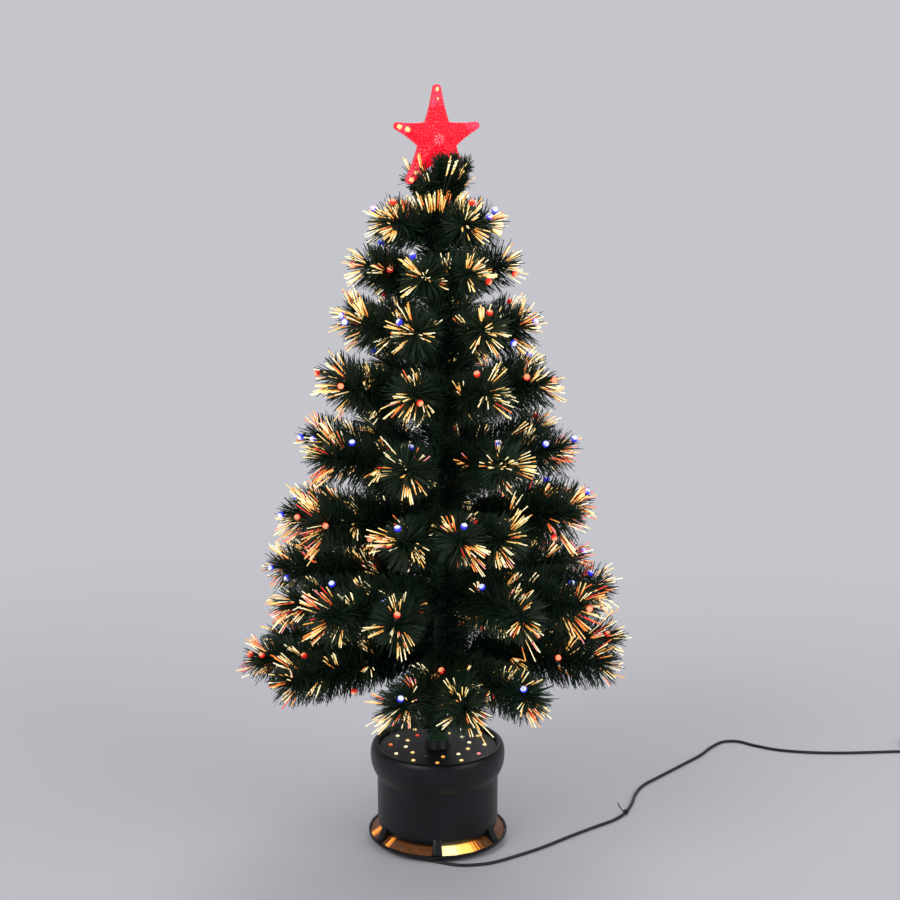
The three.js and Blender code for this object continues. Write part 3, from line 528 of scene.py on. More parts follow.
def makePot(form, material):
    body, foot, wall, corner = form.body, form.foot, form.wall, form.corner
    inner = body - wall
    ledgeInner, ledgeTop, bandFoot = inner - form.ledge, form.lidFoot - 0.3, form.height - form.band
    profile = [(ledgeInner, foot), (form.bottom - 1, foot)]
    profile += [(form.bottom + (body - form.bottom) * sin(t), foot + 0.4 + corner * (1 - cos(t)))
                for t in np.linspace(0, pi / 2, 7)]  # rounded foot
    profile += [(body, bandFoot - 8), (body, bandFoot - 1)]
    profile += [(body + (form.rim - body) * out, bandFoot + form.band * rise) for out, rise in form.bulge]
    profile += [(body + 0.4, form.height - 0.2), (inner + 0.6, form.height - 1.2), (inner, form.height - wall),
                (inner, ledgeTop), (ledgeInner, ledgeTop), (inner, ledgeTop - form.ledge),
                (inner, foot + corner), (ledgeInner, foot + wall)]
    mould = Mould().add(*turned(profile, form.sides))
    legBack, legTop = body - form.legWall + 2, foot + form.legWall
    leg = np.array(eased([(form.legInner, form.legFoot), (form.legOuter, form.legFoot),
                          (form.legOuter, form.legFoot + 3), (body + 0.2, legTop + 4), (legBack, legTop),
                          (legBack, foot + 0.3), (form.legInner, foot + 0.3)], 1.2))
    centre, half, edge = leg.mean(0), form.legWidth / 2, form.legEdge
    rings = []
    for y, share in ((-half, form.legEnd), (edge - half, 1), (half - edge, 1), (half, form.legEnd)):
        x, z = (centre + (leg - centre) * share).T
        rings.append(np.column_stack([x, np.full(len(leg), y), z]))
    for k in range(form.legs):
        mould.add(turn(np.vstack(rings), radians(form.legTurn + 360 * k / form.legs)),
                  swept(len(rings), len(leg)))
    piece("potShell", mould, [material], "base", ["pot_shell"], limit=50)


potPlastic = newFinish("potPlastic", [(0.004, 0.0045, 0.006), (0.009, 0.010, 0.013)], grain=24,
                       roughness=(0.3, 0.44), bump=0.35, bumpGrain=1100, bumpDepth=0.00025,
                       **{"Specular IOR Level": 0.32})
makePot(potForm, potPlastic)

lidForm = Form(
    radius=94.4, foot=152, top=155, bore=13.3, wall=4, rise=13, drop=36,
    hole=2.6, holes=12, rays=24, lens=3.2, lensRise=2.0, holeSides=16,
    rings=[(76, 0, 94.4, 64), (52, 10, 64, 40)],  # circle of the holes, turn, and the band that holds them
    lensColours="wgwwgwowgagpwwg.rgwg.awg",  # letters of lensOrder
)
lensOrder = "wgaorp."  # white, gold, amber, orange, red, pink and dark


def plateCell(form, outer, inner, circle):
    # one sector of the plate round its hole, as a closed solid
    half, centre, angles = pi / form.holes, np.array([circle, 0]), around(form.rays)
    for r in (outer, inner):
        for t in (-half, half):  # a ray goes to each corner
            corner = atan2(r * sin(t), r * cos(t) - circle) % fullTurn
            angles[np.abs(angles - corner).argmin()] = corner

    def inside(x, y):
        return inner <= hypot(x, y) <= outer and abs(atan2(y, x)) <= half

    outline = [centre + polar(a, form.hole) for a in angles] + seenFrom(centre, inside, angles)
    return [(x, y, z) for z in (form.foot, form.top) for x, y in outline], holed(form.rays)


def makeLid(form, finishes):
    # the plate's upper and lower faces are fans of cells, one round each hole
    foot, top, bore, wall = form.foot, form.top, form.bore, form.wall
    mould, holes = Mould(), []
    for circle, turnedBy, outer, inner in form.rings:
        points, faces = plateCell(form, outer, inner, circle)
        for way in radians(turnedBy) + around(form.holes):
            mould.add(turn(points, way), faces)
            holes.append(polar(way, circle))
    out, hub, edge = bore + wall, bore + wall * 2, form.radius + 0.4
    mould.add(*turned([(hub, foot), (inner, foot), (inner, top), (hub, top)]))
    mould.add(*turned([(form.radius, foot), (edge, foot + 0.8), (edge, top - 0.8), (form.radius, top),
                       (edge - 1.6, top - 0.2), (edge - 1.6, foot + 0.2)]))
    low, high = foot - form.drop, top + form.rise
    socket = eased([(bore, low), (out, low), (out, foot), (hub + 1, foot + 0.4), (hub + 1, top - 0.3),
                    (hub, top + 0.6), (out, high), (bore, high)], 1.0)
    mould.add(*turned(socket, 64))
    piece("potLid", mould, finishes[:1], "base", ["pot_lid"], limit=35)
    inHole, low = form.hole - 0.15, 0.4
    dome = [(0, -form.hole), (inHole, -form.hole), (inHole, 0.05), (form.lens, 0.05), (form.lens, low)]
    dome += [(form.lens * cos(t), low + (form.lensRise - low) * sin(t)) for t in (0.35, 0.8, 1.2)]
    points, faces = turned([*dome, (0, form.lensRise)], form.holeSides, closed=False)
    lenses = Mould()
    for spot, letter in zip(holes, form.lensColours):
        lenses.add(points + [*spot, top], faces, lensOrder.index(letter))
    piece("lidLenses", lenses, finishes[1:], "base")


litColours = {
    "White": ((1.0, 0.88, 0.56), 1.15), "Gold": ((1.0, 0.70, 0.25), 1.1), "Amber": ((1.0, 0.44, 0.08), 1.0),
    "Orange": ((1.0, 0.20, 0.04), 1.0), "Red": ((0.95, 0.05, 0.035), 0.95), "Pink": ((1.0, 0.30, 0.34), 1.0),
}
litFinishes = [
    lit("litEnd" + word, [tuple(share * c for c in colour) for share in (0.35, 0.5)], colour, strength)
    for word, (colour, strength) in litColours.items()
]
strandPlastic = newFinish("strandPlastic", [(0.035, 0.042, 0.03), (0.08, 0.09, 0.065)], grain=70,
                          roughness=(0.12, 0.25), **{"IOR": 1.49, "Coat Weight": 0.3})
makeLid(lidForm, [potPlastic, *litFinishes, strandPlastic])

ringForm = Form(
    rim=108.6, top=94, wall=2.6, flange=8, foot=10.3, height=10, notches=6, notchTurn=30, notchWidth=14.6,
    flutes=34, fluteDepth=0.8, steps=136,
    glow=(-80, (8, 22, 27, 31)),  # painted light of the lamp inside: where it is hottest, and how far each of the four levels reaches, degrees
    glowFrom=-90,  # the leg that ends it
    spots=[(193, 3, 6), (221, 1.5, 3), (72, 9, 17), (135, 4, 9)],  # painted light spots: middle, reach of orange and of deep
    waves=[(2.6, 1.7, 0.9), (1.6, 4.3, -1.7)],  # of the levels' edges: size, change per degree and per face
)


def ringGlowLevel(form, degrees, i):
    # painted glow level, from 0, the hottest, to 4
    wave = sum(size * sin(degrees * along + i * across) for size, along, across in form.waves)
    hottest, reaches = form.glow
    off = abs(degrees - hottest) + wave
    level = next((j for j, reach in enumerate(reaches) if off < reach and degrees > form.glowFrom), 4)
    for centre, orange, deep in form.spots:
        off = abs(degrees % 360 - centre) + wave * 0.3
        level = min(level, 2 if off < orange else 3 if off < deep else 4)
    return level


def makeLightRing(form, finishes):
    # six arcs between the pot's legs, joined under them by the flange; each face gets a level of painted glow,
    # the light of the lamp inside falling unevenly round the ring
    foot, top, wall, steps = form.foot, form.foot + form.height, form.wall, form.steps
    inner, under = form.top - form.flange, top - wall
    outline = [(form.rim - wall, foot), (form.rim, foot), (form.rim, foot + wall / 2), (form.top, top),
               (inner, top), (inner, under), (form.top - wall / 2, under)]
    skirt = np.array(eased(outline, 0.7, 3))
    radius, height = skirt.T
    fluted = (height > foot + 1) & (height < top - 1) & (radius > form.top - 1)
    dents = 0.5 - 0.5 * np.cos(fullTurn * form.flutes * np.arange(steps + 1) / steps)
    reach = radius - form.fluteDepth * dents[:, None] * fluted
    half = pi / form.notches - asin(form.notchWidth / 2 / form.top)
    mould = Mould()
    for k in range(form.notches):
        middle = form.notchTurn + (k + 0.5) * 360 / form.notches
        angles = radians(middle) + np.linspace(-half, half, steps + 1)
        points = np.dstack([polar(angles[:, None], reach[..., None]), np.broadcast_to(height, reach.shape)])
        degrees = (np.degrees((angles[:-1] + angles[1:]) / 2) + 180) % 360 - 180
        slots = [ringGlowLevel(form, at, i) for at in degrees for i in range(len(skirt))]
        mould.add(points, swept(steps + 1, len(skirt)), [*slots, slots[0], slots[-1]])
    piece("lightRing", mould, finishes, "base", ["light_ring"], limit=50)


# painted light: five finishes from hot to dim, for the lamp's uneven light round the ring
makeLightRing(ringForm, [
    lit("ring" + word, colours, (1.0, *glow), strength, grain=120, bump=bump, bumpGrain=260)
    for word, colours, glow, strength, bump in (
        ("Hot", [(1.0, 0.72, 0.3), (1.0, 0.85, 0.45)], (0.78, 0.36), 1.15, 0.5),
        ("Yellow", [(0.9, 0.5, 0.1), (1.0, 0.62, 0.16)], (0.6, 0.12), 1.0, 0.5),
        ("Orange", [(0.8, 0.28, 0.03), (0.9, 0.4, 0.07)], (0.34, 0.04), 0.75, 0.4),
        ("Deep", [(0.4, 0.12, 0.015), (0.5, 0.18, 0.03)], (0.22, 0.02), 0.3, 0.4),
        ("Dim", [(0.09, 0.035, 0.012), (0.17, 0.07, 0.022)], (0.3, 0.05), 0.03, 0.4))])

plateForm = Form(
    foot=7, top=10, radius=112.5, rimHeight=3, rimWall=2.3, rimStep=1.6,
    feet=4, footRadius=9, footCircle=88, footTurn=45, footHeight=6.7, grooves=3,
)


def makeFeet(form, material):
    r, h = form.footRadius, form.footHeight
    profile = [(0, 0)]
    for g in range(form.grooves):  # tread rings under the foot
        at = r * (0.2 + 0.22 * g)
        profile += [(at, 0), (at + 0.35, 0.5), (at + 1.0, 0.5), (at + 1.35, 0)]
    profile += [(r - 1.4, 0), (r - 0.5, 0.5), (r, 1.6), (r, h - 0.5), (r - 0.5, h), (0, h)]
    for k in range(form.feet):
        spot = polar(radians(form.footTurn + 360 * k / form.feet), form.footCircle)
        lathe(f"foot{k + 1}", profile, 40, material, "base", f"foot_{k + 1}", (*spot, 0))


def makeBasePlate(form, material):
    # the CAD plate keeps its vents; a smooth rim goes round its facets
    out, inner, foot, top = form.radius, form.radius - form.rimWall, form.foot, form.top + form.rimHeight
    rim = eased([(inner - form.rimStep, foot), (out - 2.2, foot), (out, foot + 2.4), (out, top), (inner, top),
                 (inner - form.rimStep, form.top + 0.1)], 0.8, 3)
    piece("basePlateRim", Mould().add(*turned(rim, 128)), [material], "base")


rubberFoot = newFinish("footRubber", [(0.014, 0.014, 0.014), (0.028, 0.028, 0.028)], roughness=(0.75, 0.9),
                       bump=0.5, bumpGrain=1400)
makeFeet(plateForm, rubberFoot)
makeBasePlate(plateForm, potPlastic)
print("pot and base done")


# Branches: needles, fibres and light berries

treeForm = Form(
    pinCircle=20.5, spread=320, lowestHub=304, highestHub=974,
    heights=[0, 0.164, 0.322, 0.473, 0.617, 0.753, 0.881, 1],
    radii=[1, 0.97, 0.81, 0.76, 0.65, 0.56, 0.465, 0.362],
    tilts=[3, 6, 10, 13, 17, 20, 23, 26], branches=[4, 4, 4, 4, 4, 4, 3, 3], limbs=[3, 3, 3, 2, 2, 2, 2, 2],
    turn=45, firstTurn=9, folded=48, brush=0.53, fork=0.16, sideLimb=0.97, sway=0.02, sag=(-3, 7),
    limbAngles={2: (-30, 30), 3: (-30, 0, 30)},
)
needleForm = Form(
    perMetre=7200, fewest=8, halfWidth=1.1, flat=0.22, rootShare=0.7, tipShare=0.6, fullness=(1.1, 1.46),
    lean=(54, 78), bend=0.045, tipFrom=0.82, tipLean=(4, 70), tipRoom=44, tipLength=39, droop=0.0005, seed=11,
)
fibreForm = Form(
    lengthShare=0.42, length=(50, 78), rootLength=34,
    leans=(10, 35, 41),  # the end's sheaves, from the limb's line
    sheafEvery=33, sheafTurn=137.5, sheafLean=50,  # along the limb, and degrees from one to the next
    leanSpread=6, rollSpread=0.4, turnSpread=25,
    perSheaf=(4, 10), halfAngle=13, lowestRise=-0.22,  # how steeply those of the lowest tier point down
    dark=0.45, bright=0.75, tipSwell=1.25, litLength=(15, 38), litMost=0.55, warmShare=0.4, sag=0.0011, seed=23,
)
rng, fibreRng = (np.random.default_rng(form.seed) for form in (needleForm, fibreForm))
hubRange = treeForm.highestHub - treeForm.lowestHub


def limbLines(t, azimuth):
    # stem and limbs of one branch, from its pin outwards
    form = treeForm
    tilt = radians(form.tilts[t])
    reach = (form.radii[t] * form.spread - form.pinCircle) / cos(tilt)
    hub = form.lowestHub + form.heights[t] * hubRange
    fork, limb = reach * form.fork, reach * (1 - form.fork)

    def placed(x, y, z):
        return turn(np.stack([x * cos(tilt) - z * sin(tilt) + form.pinCircle, y,
                              x * sin(tilt) + z * cos(tilt) + hub], -1), azimuth)

    s = np.linspace(0, 1, 9)
    bow = np.sin(s * pi)
    lines = []
    for angle in form.limbAngles[form.limbs[t]]:
        length, a = limb * (form.sideLimb if angle else 1), radians(angle)
        sway, sag = rng.normal(0, form.sway), rng.uniform(*form.sag)
        lines.append(placed(fork + length * s * np.cos(a), length * (s * np.sin(a) + sway * bow), -sag * bow))
    spacing = min(abs(other - form.heights[t]) for other in form.heights if other != form.heights[t]) * hubRange
    low, high = needleForm.fullness
    radius = spacing * cos(radians(form.folded)) * form.brush
    return placed(fork * s, 0 * s, 0 * s), lines, radius * (low + (high - low) * form.heights[t])


def addNeedles(mould, line, shares, reaches, perMetre=needleForm.perMetre, tip=True, core=1.7,
               tipLength=needleForm.tipLength):
    # flat film needles round a wire; at a limb's end they close in on its tip
    form = needleForm
    count = max(int(alongLine(line, [0, 1])[2] * millimetre * perMetre), form.fewest)
    share = (np.arange(count) + rng.random(count)) / count
    roots, ahead, _ = alongLine(line, share)
    outward = outwards(ahead, rng.random(count) * fullTurn)
    lean = np.radians(rng.uniform(*form.lean, count))
    long = np.interp(share, shares, reaches) * rng.uniform(0.86, 1.04, count) / np.sin(lean)
    if tip:  # the last ones open out in all directions, so the limb ends in a round tuft
        last = rng.random(count) < np.clip((share - form.tipFrom) / (1 - form.tipFrom), 0, 1)
        lean[last] = np.radians(rng.uniform(*form.tipLean, last.sum()))
        long[last] = tipLength * rng.uniform(0.84, 1.05, last.sum())
    way = ahead * np.cos(lean)[:, None] + outward * np.sin(lean)[:, None]
    bend = rng.normal(0, form.bend, (count, 3))
    middle = roots + way * (long * 0.55)[:, None] + bend * (long * 0.3)[:, None]
    tips = roots + (way + bend) * long[:, None] - up * (form.droop * long ** 2)[:, None]
    width = form.halfWidth * rng.uniform(0.85, 1.15, count)
    radii = np.stack([width * form.rootShare, width, width * form.tipShare], 1)
    addTubes(mould, np.stack([roots, middle, tips], 1), radii, 3, 0, form.flat, rng.normal(0, 1, (count, 3)))
    addWire(mould, line, core, 6, 1)


def addSheaf(mould, root, knot, axis, length, halfAngle, count, hues):
    # a sheaf of strands that leaves the stem together and fans out; the last stretch is lit
    form = fibreForm
    theta = (radians(halfAngle) * np.sqrt(fibreRng.uniform(0.02, 1, count)))[:, None]
    way = unit(axis * np.cos(theta) + np.sin(theta) * outwards(axis, fibreRng.random(count) * fullTurn))
    long = length * fibreRng.uniform(0.78, 1.0, count)
    glow = np.minimum(fibreRng.uniform(*form.litLength, count), long * form.litMost)
    loose = fibreRng.normal(0, 1.0, (count, 3))
    sag = up * (form.dark * form.sag * long ** 2)[:, None]
    bundle = knot + loose
    half = bundle + way * ((long - glow) * 0.5)[:, None] - sag * 0.1
    glowStart = bundle + way * (long - glow)[:, None] - sag * 0.55
    end = bundle + way * long[:, None] - sag
    within = glowStart * (1 - form.warmShare) + end * form.warmShare + sag * 0.05
    paths = np.stack([root + loose * 0.4, bundle, half, glowStart, within, end], 1)
    thin, thick = form.dark, form.bright
    radii = np.tile([thin, thin, thin, thick * 0.85, thick, thick * form.tipSwell], (count, 1))
    weights = np.array(hues) / sum(hues)
    hue = fibreRng.choice(len(hues), count, p=weights)
    slots = np.zeros((count, 5), int)
    slots[:, 3], slots[:, 4] = np.array([1, 2, 3, 4, 4, 3])[hue] + 1, hue + 1  # warmer towards its root
    addTubes(mould, paths, radii, 3, slots)


def addBranchFibres(mould, line, core, length, full):
    # narrow sheaves that part from the limb's end, and others that come out between the needles
    form = fibreForm
    rise = form.lowestRise if line[0][2] < treeForm.lowestHub + 60 else -1

    def sheafFrom(spine, shares, lean, roll, reach, hues=None):
        (root, knot), (_, axis), _ = alongLine(spine, shares)
        out = axis * cos(lean) + outwards(axis, roll) * sin(lean)
        out[2] = max(out[2], rise)
        count = int(fibreRng.integers(*form.perSheaf))
        addSheaf(mould, root, knot, unit(out), reach, form.halfAngle, count, hues or hueAt(knot))

    hues, first = hueAt(line[-1]), fibreRng.random() * fullTurn
    fan = float(np.clip(length * form.lengthShare, *form.length))
    shares = [max(1 - (fan + form.rootLength) / length, 0), max(1 - fan / length, 0.02)]
    for k, degrees in enumerate(form.leans):
        lean = radians(degrees + fibreRng.uniform(-form.leanSpread, form.leanSpread))
        roll = first + fullTurn * k / (len(form.leans) - 1)
        roll += fibreRng.uniform(-form.rollSpread, form.rollSpread)
        sheafFrom(line, shares, lean, roll, fan, hues)
    sheaves, lean = max(int(length / form.sheafEvery), 2), radians(form.sheafLean)
    for k in range(sheaves):
        where = (k + 0.7) / sheaves
        roll = first + radians(form.sheafTurn * k + fibreRng.uniform(-form.turnSpread, form.turnSpread))
        sheafFrom(core, [max(where - 0.2, 0), where], lean, roll, full * 1.02 / sin(lean))


hueSets = Form(  # weights of white, gold, amber, orange, red and pink
    gold=(6, 4.5, 1, 0.3, 0, 0), warm=(5, 4, 1.6, 0.8, 0.2, 0.5),
    ember=(3.4, 2.8, 1.8, 1.6, 0.8, 0.8), rose=(3, 1.6, 1, 1.4, 1.2, 2.8),
)


def hueAt(place):
    # golden at the top and front, redder low down and at the sides, as in the photograph
    height = (place[2] - treeForm.lowestHub) / hubRange
    edge = abs(place[0]) / (treeForm.spread * (1.08 - 0.7 * max(height, 0)))
    chance = fibreRng.random()
    if height > 0.55:
        return hueSets["gold" if chance < 0.75 else "warm"]
    if edge > 0.6:
        return hueSets["rose" if place[0] > 0 and chance < 0.45 else "ember" if chance < 0.65 else "warm"]
    return hueSets["gold" if chance < 0.5 else "warm" if chance < 0.85 else "ember"]


needleFilm = newFinish("needleFilm", [(0.006, 0.022, 0.010), (0.017, 0.054, 0.024), (0.010, 0.036, 0.016)],
                       grain=60, roughness=(0.38, 0.62), perIsland=True)
stemWire = newFinish("stemWire", [(0.012, 0.032, 0.016), (0.03, 0.05, 0.03)], roughness=(0.4, 0.6), bump=0.3)

branches = []  # name, tier, limb lines and needle radius
for t, count in enumerate(treeForm.branches):
    for k in range(count):
        name = f"tier{t + 1}_branch{k + 1}"
        azimuth = radians(treeForm.firstTurn + treeForm.turn * t + 360 * k / count)
        stem, lines, full = limbLines(t, azimuth)
        needles, fibres = Mould(), Mould()
        addNeedles(needles, stem, [0, 1], [full * 0.7, full * 0.9], tip=False)
        for line in lines:
            length = alongLine(line, [0, 1])[2]
            core = alongLine(line, np.linspace(0, 1 - needleForm.tipRoom / length, 9))[0]
            addNeedles(needles, core, [0, 0.3, 1], [full * 0.9, full, full * 0.95])
            addBranchFibres(fibres, line, core, length, full)
        piece(name + "_needles", needles, [needleFilm, stemWire], name, [name], smooth=False)
        piece(name + "_fibres", fibres, [strandPlastic, *litFinishes], name, smooth=False)
        branches.append((name, t, lines, full))
print("branches done:", len(branches))


# Light berries; each sits on the limb that carries it, nearest its place in the photograph

berryForm = Form(
    radius=5.0, core=(0.34, 0.7), collar=2.8, collarLength=6.4, wire=0.6, wander=1.2, seed=5,
    tierOrder="brbrbrbr",  # for the limbs that the photograph doesn't show
    limbShares=(0.3, 0.96, 10), rolls=12, forward=0.5,  # the places that are tried along and round a limb
    reachShares=(0.2, 0.5, 0.8), reachMost=1.02,  # of the needles' radius
    perLimb=2, apart=16, tries=400, depthWeight=0.03, facingWeight=5, freeShares=(0.7, 0.9),
    leanFoot=(790, 6.5), leanTop=(136, -10),  # the photographed tree's lean: row, and shift of the upright one
)
berryMarks = {  # where the photograph shows each colour: across and down its frame
    "b": [(443, 213), (497, 217), (503, 213), (382, 211), (336, 323), (349, 316), (407, 324), (517, 343),
          (541, 322), (297, 440), (318, 440), (352, 443), (413, 450), (500, 443), (547, 443), (573, 437),
          (286, 480), (586, 482), (262, 572), (285, 580), (333, 588), (381, 602), (475, 580), (571, 582),
          (603, 548), (600, 556), (264, 543)],
    "r": [(470, 178), (362, 265), (398, 270), (492, 279), (525, 275), (320, 378), (346, 386), (419, 403),
          (480, 380), (532, 380), (560, 380), (297, 519), (325, 525), (373, 538), (475, 525), (553, 535),
          (243, 640), (250, 648), (302, 660), (348, 695), (440, 663), (555, 660), (608, 628), (618, 612)],
}


def placeBerries(form):
    # places all round every limb are tried; each mark takes one that looks near it and faces the camera
    places, outs, owners = [], [], []
    shares = np.linspace(*form.limbShares)
    for number, (_, _, lines, full) in enumerate(branches):
        for limb, line in enumerate(lines):
            spots, ahead, _ = alongLine(line, shares)
            for share, spot, on in zip(shares, spots, ahead):
                for out in unit(outwards(on, around(form.rolls)) + on * form.forward):
                    for reach in form.reachShares:
                        if share + reach * form.forward <= form.reachMost:
                            places.append(spot + out * full * reach)
                            outs.append(out)
                            owners.append((number, limb))
    places = np.array(places)
    pixels = toPixels(places)
    facing = (np.array(outs) * unit(np.array(cameraPlace.position) / millimetre - places)).sum(1)
    chosen, used = [], {}
    rows, shifts = zip(form.leanTop, form.leanFoot)
    for colour, marks in berryMarks.items():
        for right, down in marks:
            upright = np.array([right + np.interp(down, rows, shifts), down])
            cost = np.linalg.norm(pixels - upright, axis=1) + places[:, 1] * form.depthWeight
            for i in np.argsort(cost - facing * form.facingWeight)[:form.tries]:
                near = any(np.linalg.norm(other - places[i]) < form.apart for _, other, _, _ in chosen)
                if used.get(owners[i], 0) < form.perLimb and not near:
                    used[owners[i]] = used.get(owners[i], 0) + 1
                    chosen.append((owners[i], places[i], outs[i], colour))
                    break
    spotRng = np.random.default_rng(form.seed)
    for number, (_, t, lines, full) in enumerate(branches):  # the limbs the photograph doesn't show
        for limb, line in enumerate(lines):
            if (number, limb) not in used:
                (spot,), (ahead,), _ = alongLine(line, [spotRng.uniform(*form.freeShares)])
                side, above = crossFrame(ahead)
                out = unit(above + ahead * 0.6 + side * spotRng.normal(0, 0.5))
                chosen.append(((number, limb), spot + out * full * form.reachShares[1], out, form.tierOrder[t]))
    return chosen


def makeBerries(form, finishes):
    r, wide, low = form.radius, form.collar, -form.collarLength
    shell = [(r * cos(a), r * (0.9 + sin(a))) for a in np.radians(np.linspace(-55, 82, 9))]
    shellPoints, shellFaces = turned([(0, 0), (r * 0.5, 0.2), *shell, (0, r * 1.9)], 14, closed=False)
    collar = [(0, low), (wide * 0.6, low), (wide, low + 1.5), (wide, 0.8), (0, 0.8)]
    collarPoints, collarFaces = turned(collar, 10, closed=False)
    lowest = np.array([shellPoints[face, 2].min() for face in shellFaces])
    levels = sum((lowest > r * 1.9 * share).astype(int) for share in form.core)
    moulds = {}
    for (number, limb), spot, out, colour in placeBerries(form):
        mould = moulds.setdefault(number, Mould())
        basis = np.stack([*crossFrame(out), out])
        mould.add(shellPoints @ basis + spot, shellFaces, levels + "b--r".index(colour))
        mould.add(collarPoints @ basis + spot, collarFaces, 6)
        line, foot = branches[number][2][limb], spot + out * low
        run = line[np.linalg.norm(line - foot, axis=1).argmin()::-1]
        wander = np.random.default_rng(number * 7 + limb).normal(0, form.wander, run.shape)
        wire = np.vstack([foot + out, foot, foot * 0.5 + run[0] * 0.5 + up, run + up * 2.6 + wander])
        apart = np.linalg.norm(np.diff(wire, axis=0), axis=1) > 0.5
        addWire(mould, wire[[True, *apart]], form.wire, 5, 7)
    for number, mould in moulds.items():
        name = branches[number][0]
        piece(name + "_lights", mould, finishes, name)


makeBerries(berryForm, [lit("berry" + word, colours, glow, strength) for word, colours, glow, strength in (
    ("Blue", [(0.01, 0.01, 0.3), (0.02, 0.02, 0.45)], (0.02, 0.02, 1.0), 0.55),
    ("BlueGlow", [(0.02, 0.02, 0.5), (0.03, 0.03, 0.6)], (0.05, 0.055, 1.0), 1.1),
    ("BlueCore", [(0.2, 0.2, 0.5), (0.3, 0.3, 0.6)], (0.62, 0.66, 1.0), 1.2),
    ("Red", [(0.3, 0.006, 0.004), (0.45, 0.012, 0.008)], (1.0, 0.012, 0.008), 0.5),
    ("RedGlow", [(0.5, 0.012, 0.008), (0.6, 0.02, 0.012)], (1.0, 0.04, 0.02), 0.9),
    ("RedCore", [(0.5, 0.1, 0.05), (0.6, 0.16, 0.08)], (1.0, 0.36, 0.18), 1.1))] + [
    newFinish("berryCollar", [(0.012, 0.04, 0.018), (0.02, 0.06, 0.03)], roughness=(0.35, 0.5)),
    newFinish("lightWire", [(0.010, 0.035, 0.014), (0.016, 0.05, 0.02)], roughness=(0.4, 0.55))])
print("berries done")


# Trunk, its tinsel, and the crown

trunkForm = Form(
    radius=13, wrapFoot=172.6, wrapTop=296, wrapReach=48, innerReach=(50, 34), perMetre=6400,
    leaderFoot=994, leaderRadius=4, leaderTop=1100, brushTop=1056, brushReach=(38, 34, 26),
    crownLimbs=4, crownTurn=65, crownTilt=52, crownRadius=52, crownRise=1024, crownReach=(22, 21), crownTip=32,
    crownSheaf=(50, 9, 3),  # length, half angle and strands
    tuftReach=(16, 14), tuftTip=22,
    tuft=[(283, 28, 1082), (310, 36, 1083), (336, 44, 1078)],  # wires before the star: azimuth, reach, top
    strands=[  # single bright sheaves at the star: tip, point lower down, count
        ((-50, 12, 1094), (-40, 10, 1071), 3), ((-26, -37, 1098), (-20, -35, 1066), 4),
        ((22, -38, 1094), (16, -36, 1069), 3), ((32, -36, 1096), (20, -33, 1064), 4),
        ((47, -24, 1092), (35, -20, 1070), 4), ((62, -20, 1068), (46, -18, 1056), 1),
    ],
    strandLength=48, strandAngle=3, strandRoot=46,
    sheaves=[(215, 0.62), (245, 0.5), (265, 0.36), (290, 0.4), (318, 0.62), (20, 0.5), (140, 0.45)],
    sheafSize=(58, 13, 9), sheafRoot=18,  # of the sheaves above, which are azimuth and lean
)
trunkPaint = newFinish("trunkPaint", [(0.012, 0.05, 0.022), (0.025, 0.08, 0.036)], grain=50,
                       roughness=(0.35, 0.5), bump=0.15)


def upright(low, high, count):
    return np.outer(np.linspace(low, high, count), up)


def makeTrunkNeedles(form):
    tinsel = [form.wrapReach * share for share in (0.56, 0.62, 0.86, 1, 1)]
    for name, line, shares, reaches, density, core, nodes in (
            ("trunkTinsel", upright(form.wrapFoot, form.wrapTop, 12), [0, 0.12, 0.4, 0.8, 1], tinsel, 1.5, 1,
             ["trunk_wrap"]),
            ("trunkNeedles", upright(form.wrapTop, form.leaderFoot, 40), [0, 1], form.innerReach, 1, 0.5, [])):
        mould = Mould()
        addNeedles(mould, line, shares, reaches, form.perMetre * density, tip=False, core=form.radius * core)
        piece(name, mould, [needleFilm, trunkPaint], "tree", nodes, smooth=False)


def makeCrown(form):
    needles, fibres = Mould(), Mould()
    inner, foot, dense = form.leaderRadius, form.leaderFoot, needleForm.perMetre * 2
    addNeedles(needles, upright(foot - 14, form.brushTop - 6, 12), [0, 0.5, 1], form.brushReach,
               form.perMetre * 1.2, core=inner)
    addWire(needles, upright(form.brushTop - 8, form.leaderTop, 2), inner, 10, 1)
    reach = form.crownRadius - inner
    limb = np.outer(np.linspace(0, 1, 8), [reach, 0, reach * tan(radians(form.crownTilt))])
    for k in range(form.crownLimbs):
        line = turn(limb + [inner, 0, form.crownRise], radians(form.crownTurn + 360 * k / form.crownLimbs))
        addNeedles(needles, alongLine(line, np.linspace(0, 0.55, 6))[0], [0, 1], form.crownReach, dense,
                   tipLength=form.crownTip)
        addSheaf(fibres, line[0], line[2], unit(line[-1] - line[0]), *form.crownSheaf, hueSets.warm)
    for azimuth, reach, top in form.tuft:
        way = np.array([*polar(radians(azimuth), reach), 0])
        line = np.array([up * (foot + 18), way * 0.62 + up * (top - 32), way + up * top])
        addNeedles(needles, line, [0, 1], form.tuftReach, dense, tipLength=form.tuftTip)
    for tip, lower, count in form.strands:
        way = unit(np.subtract(tip, lower))
        knot = tip - way * form.strandRoot
        root = knot * [0.3, 0.3, 0] + up * (foot + 6)
        addSheaf(fibres, root, knot, way, form.strandLength, form.strandAngle, count, hueSets.gold)
    for azimuth, lean in form.sheaves:
        way = np.array([*polar(radians(azimuth)), 0])
        axis, root = unit(way * lean + up), way * 10 + up * (foot - 16)
        addSheaf(fibres, root, root + axis * form.sheafRoot, axis, *form.sheafSize, hueSets.gold)
    piece("crownNeedles", needles, [needleFilm, stemWire], "tree", ["crown"], smooth=False)
    piece("crownFibres", fibres, [strandPlastic, *litFinishes], "tree", smooth=False)


makeTrunkNeedles(trunkForm)
makeCrown(trunkForm)
print("trunk and crown done")


# Star: two hollow pebbled halves round a socket

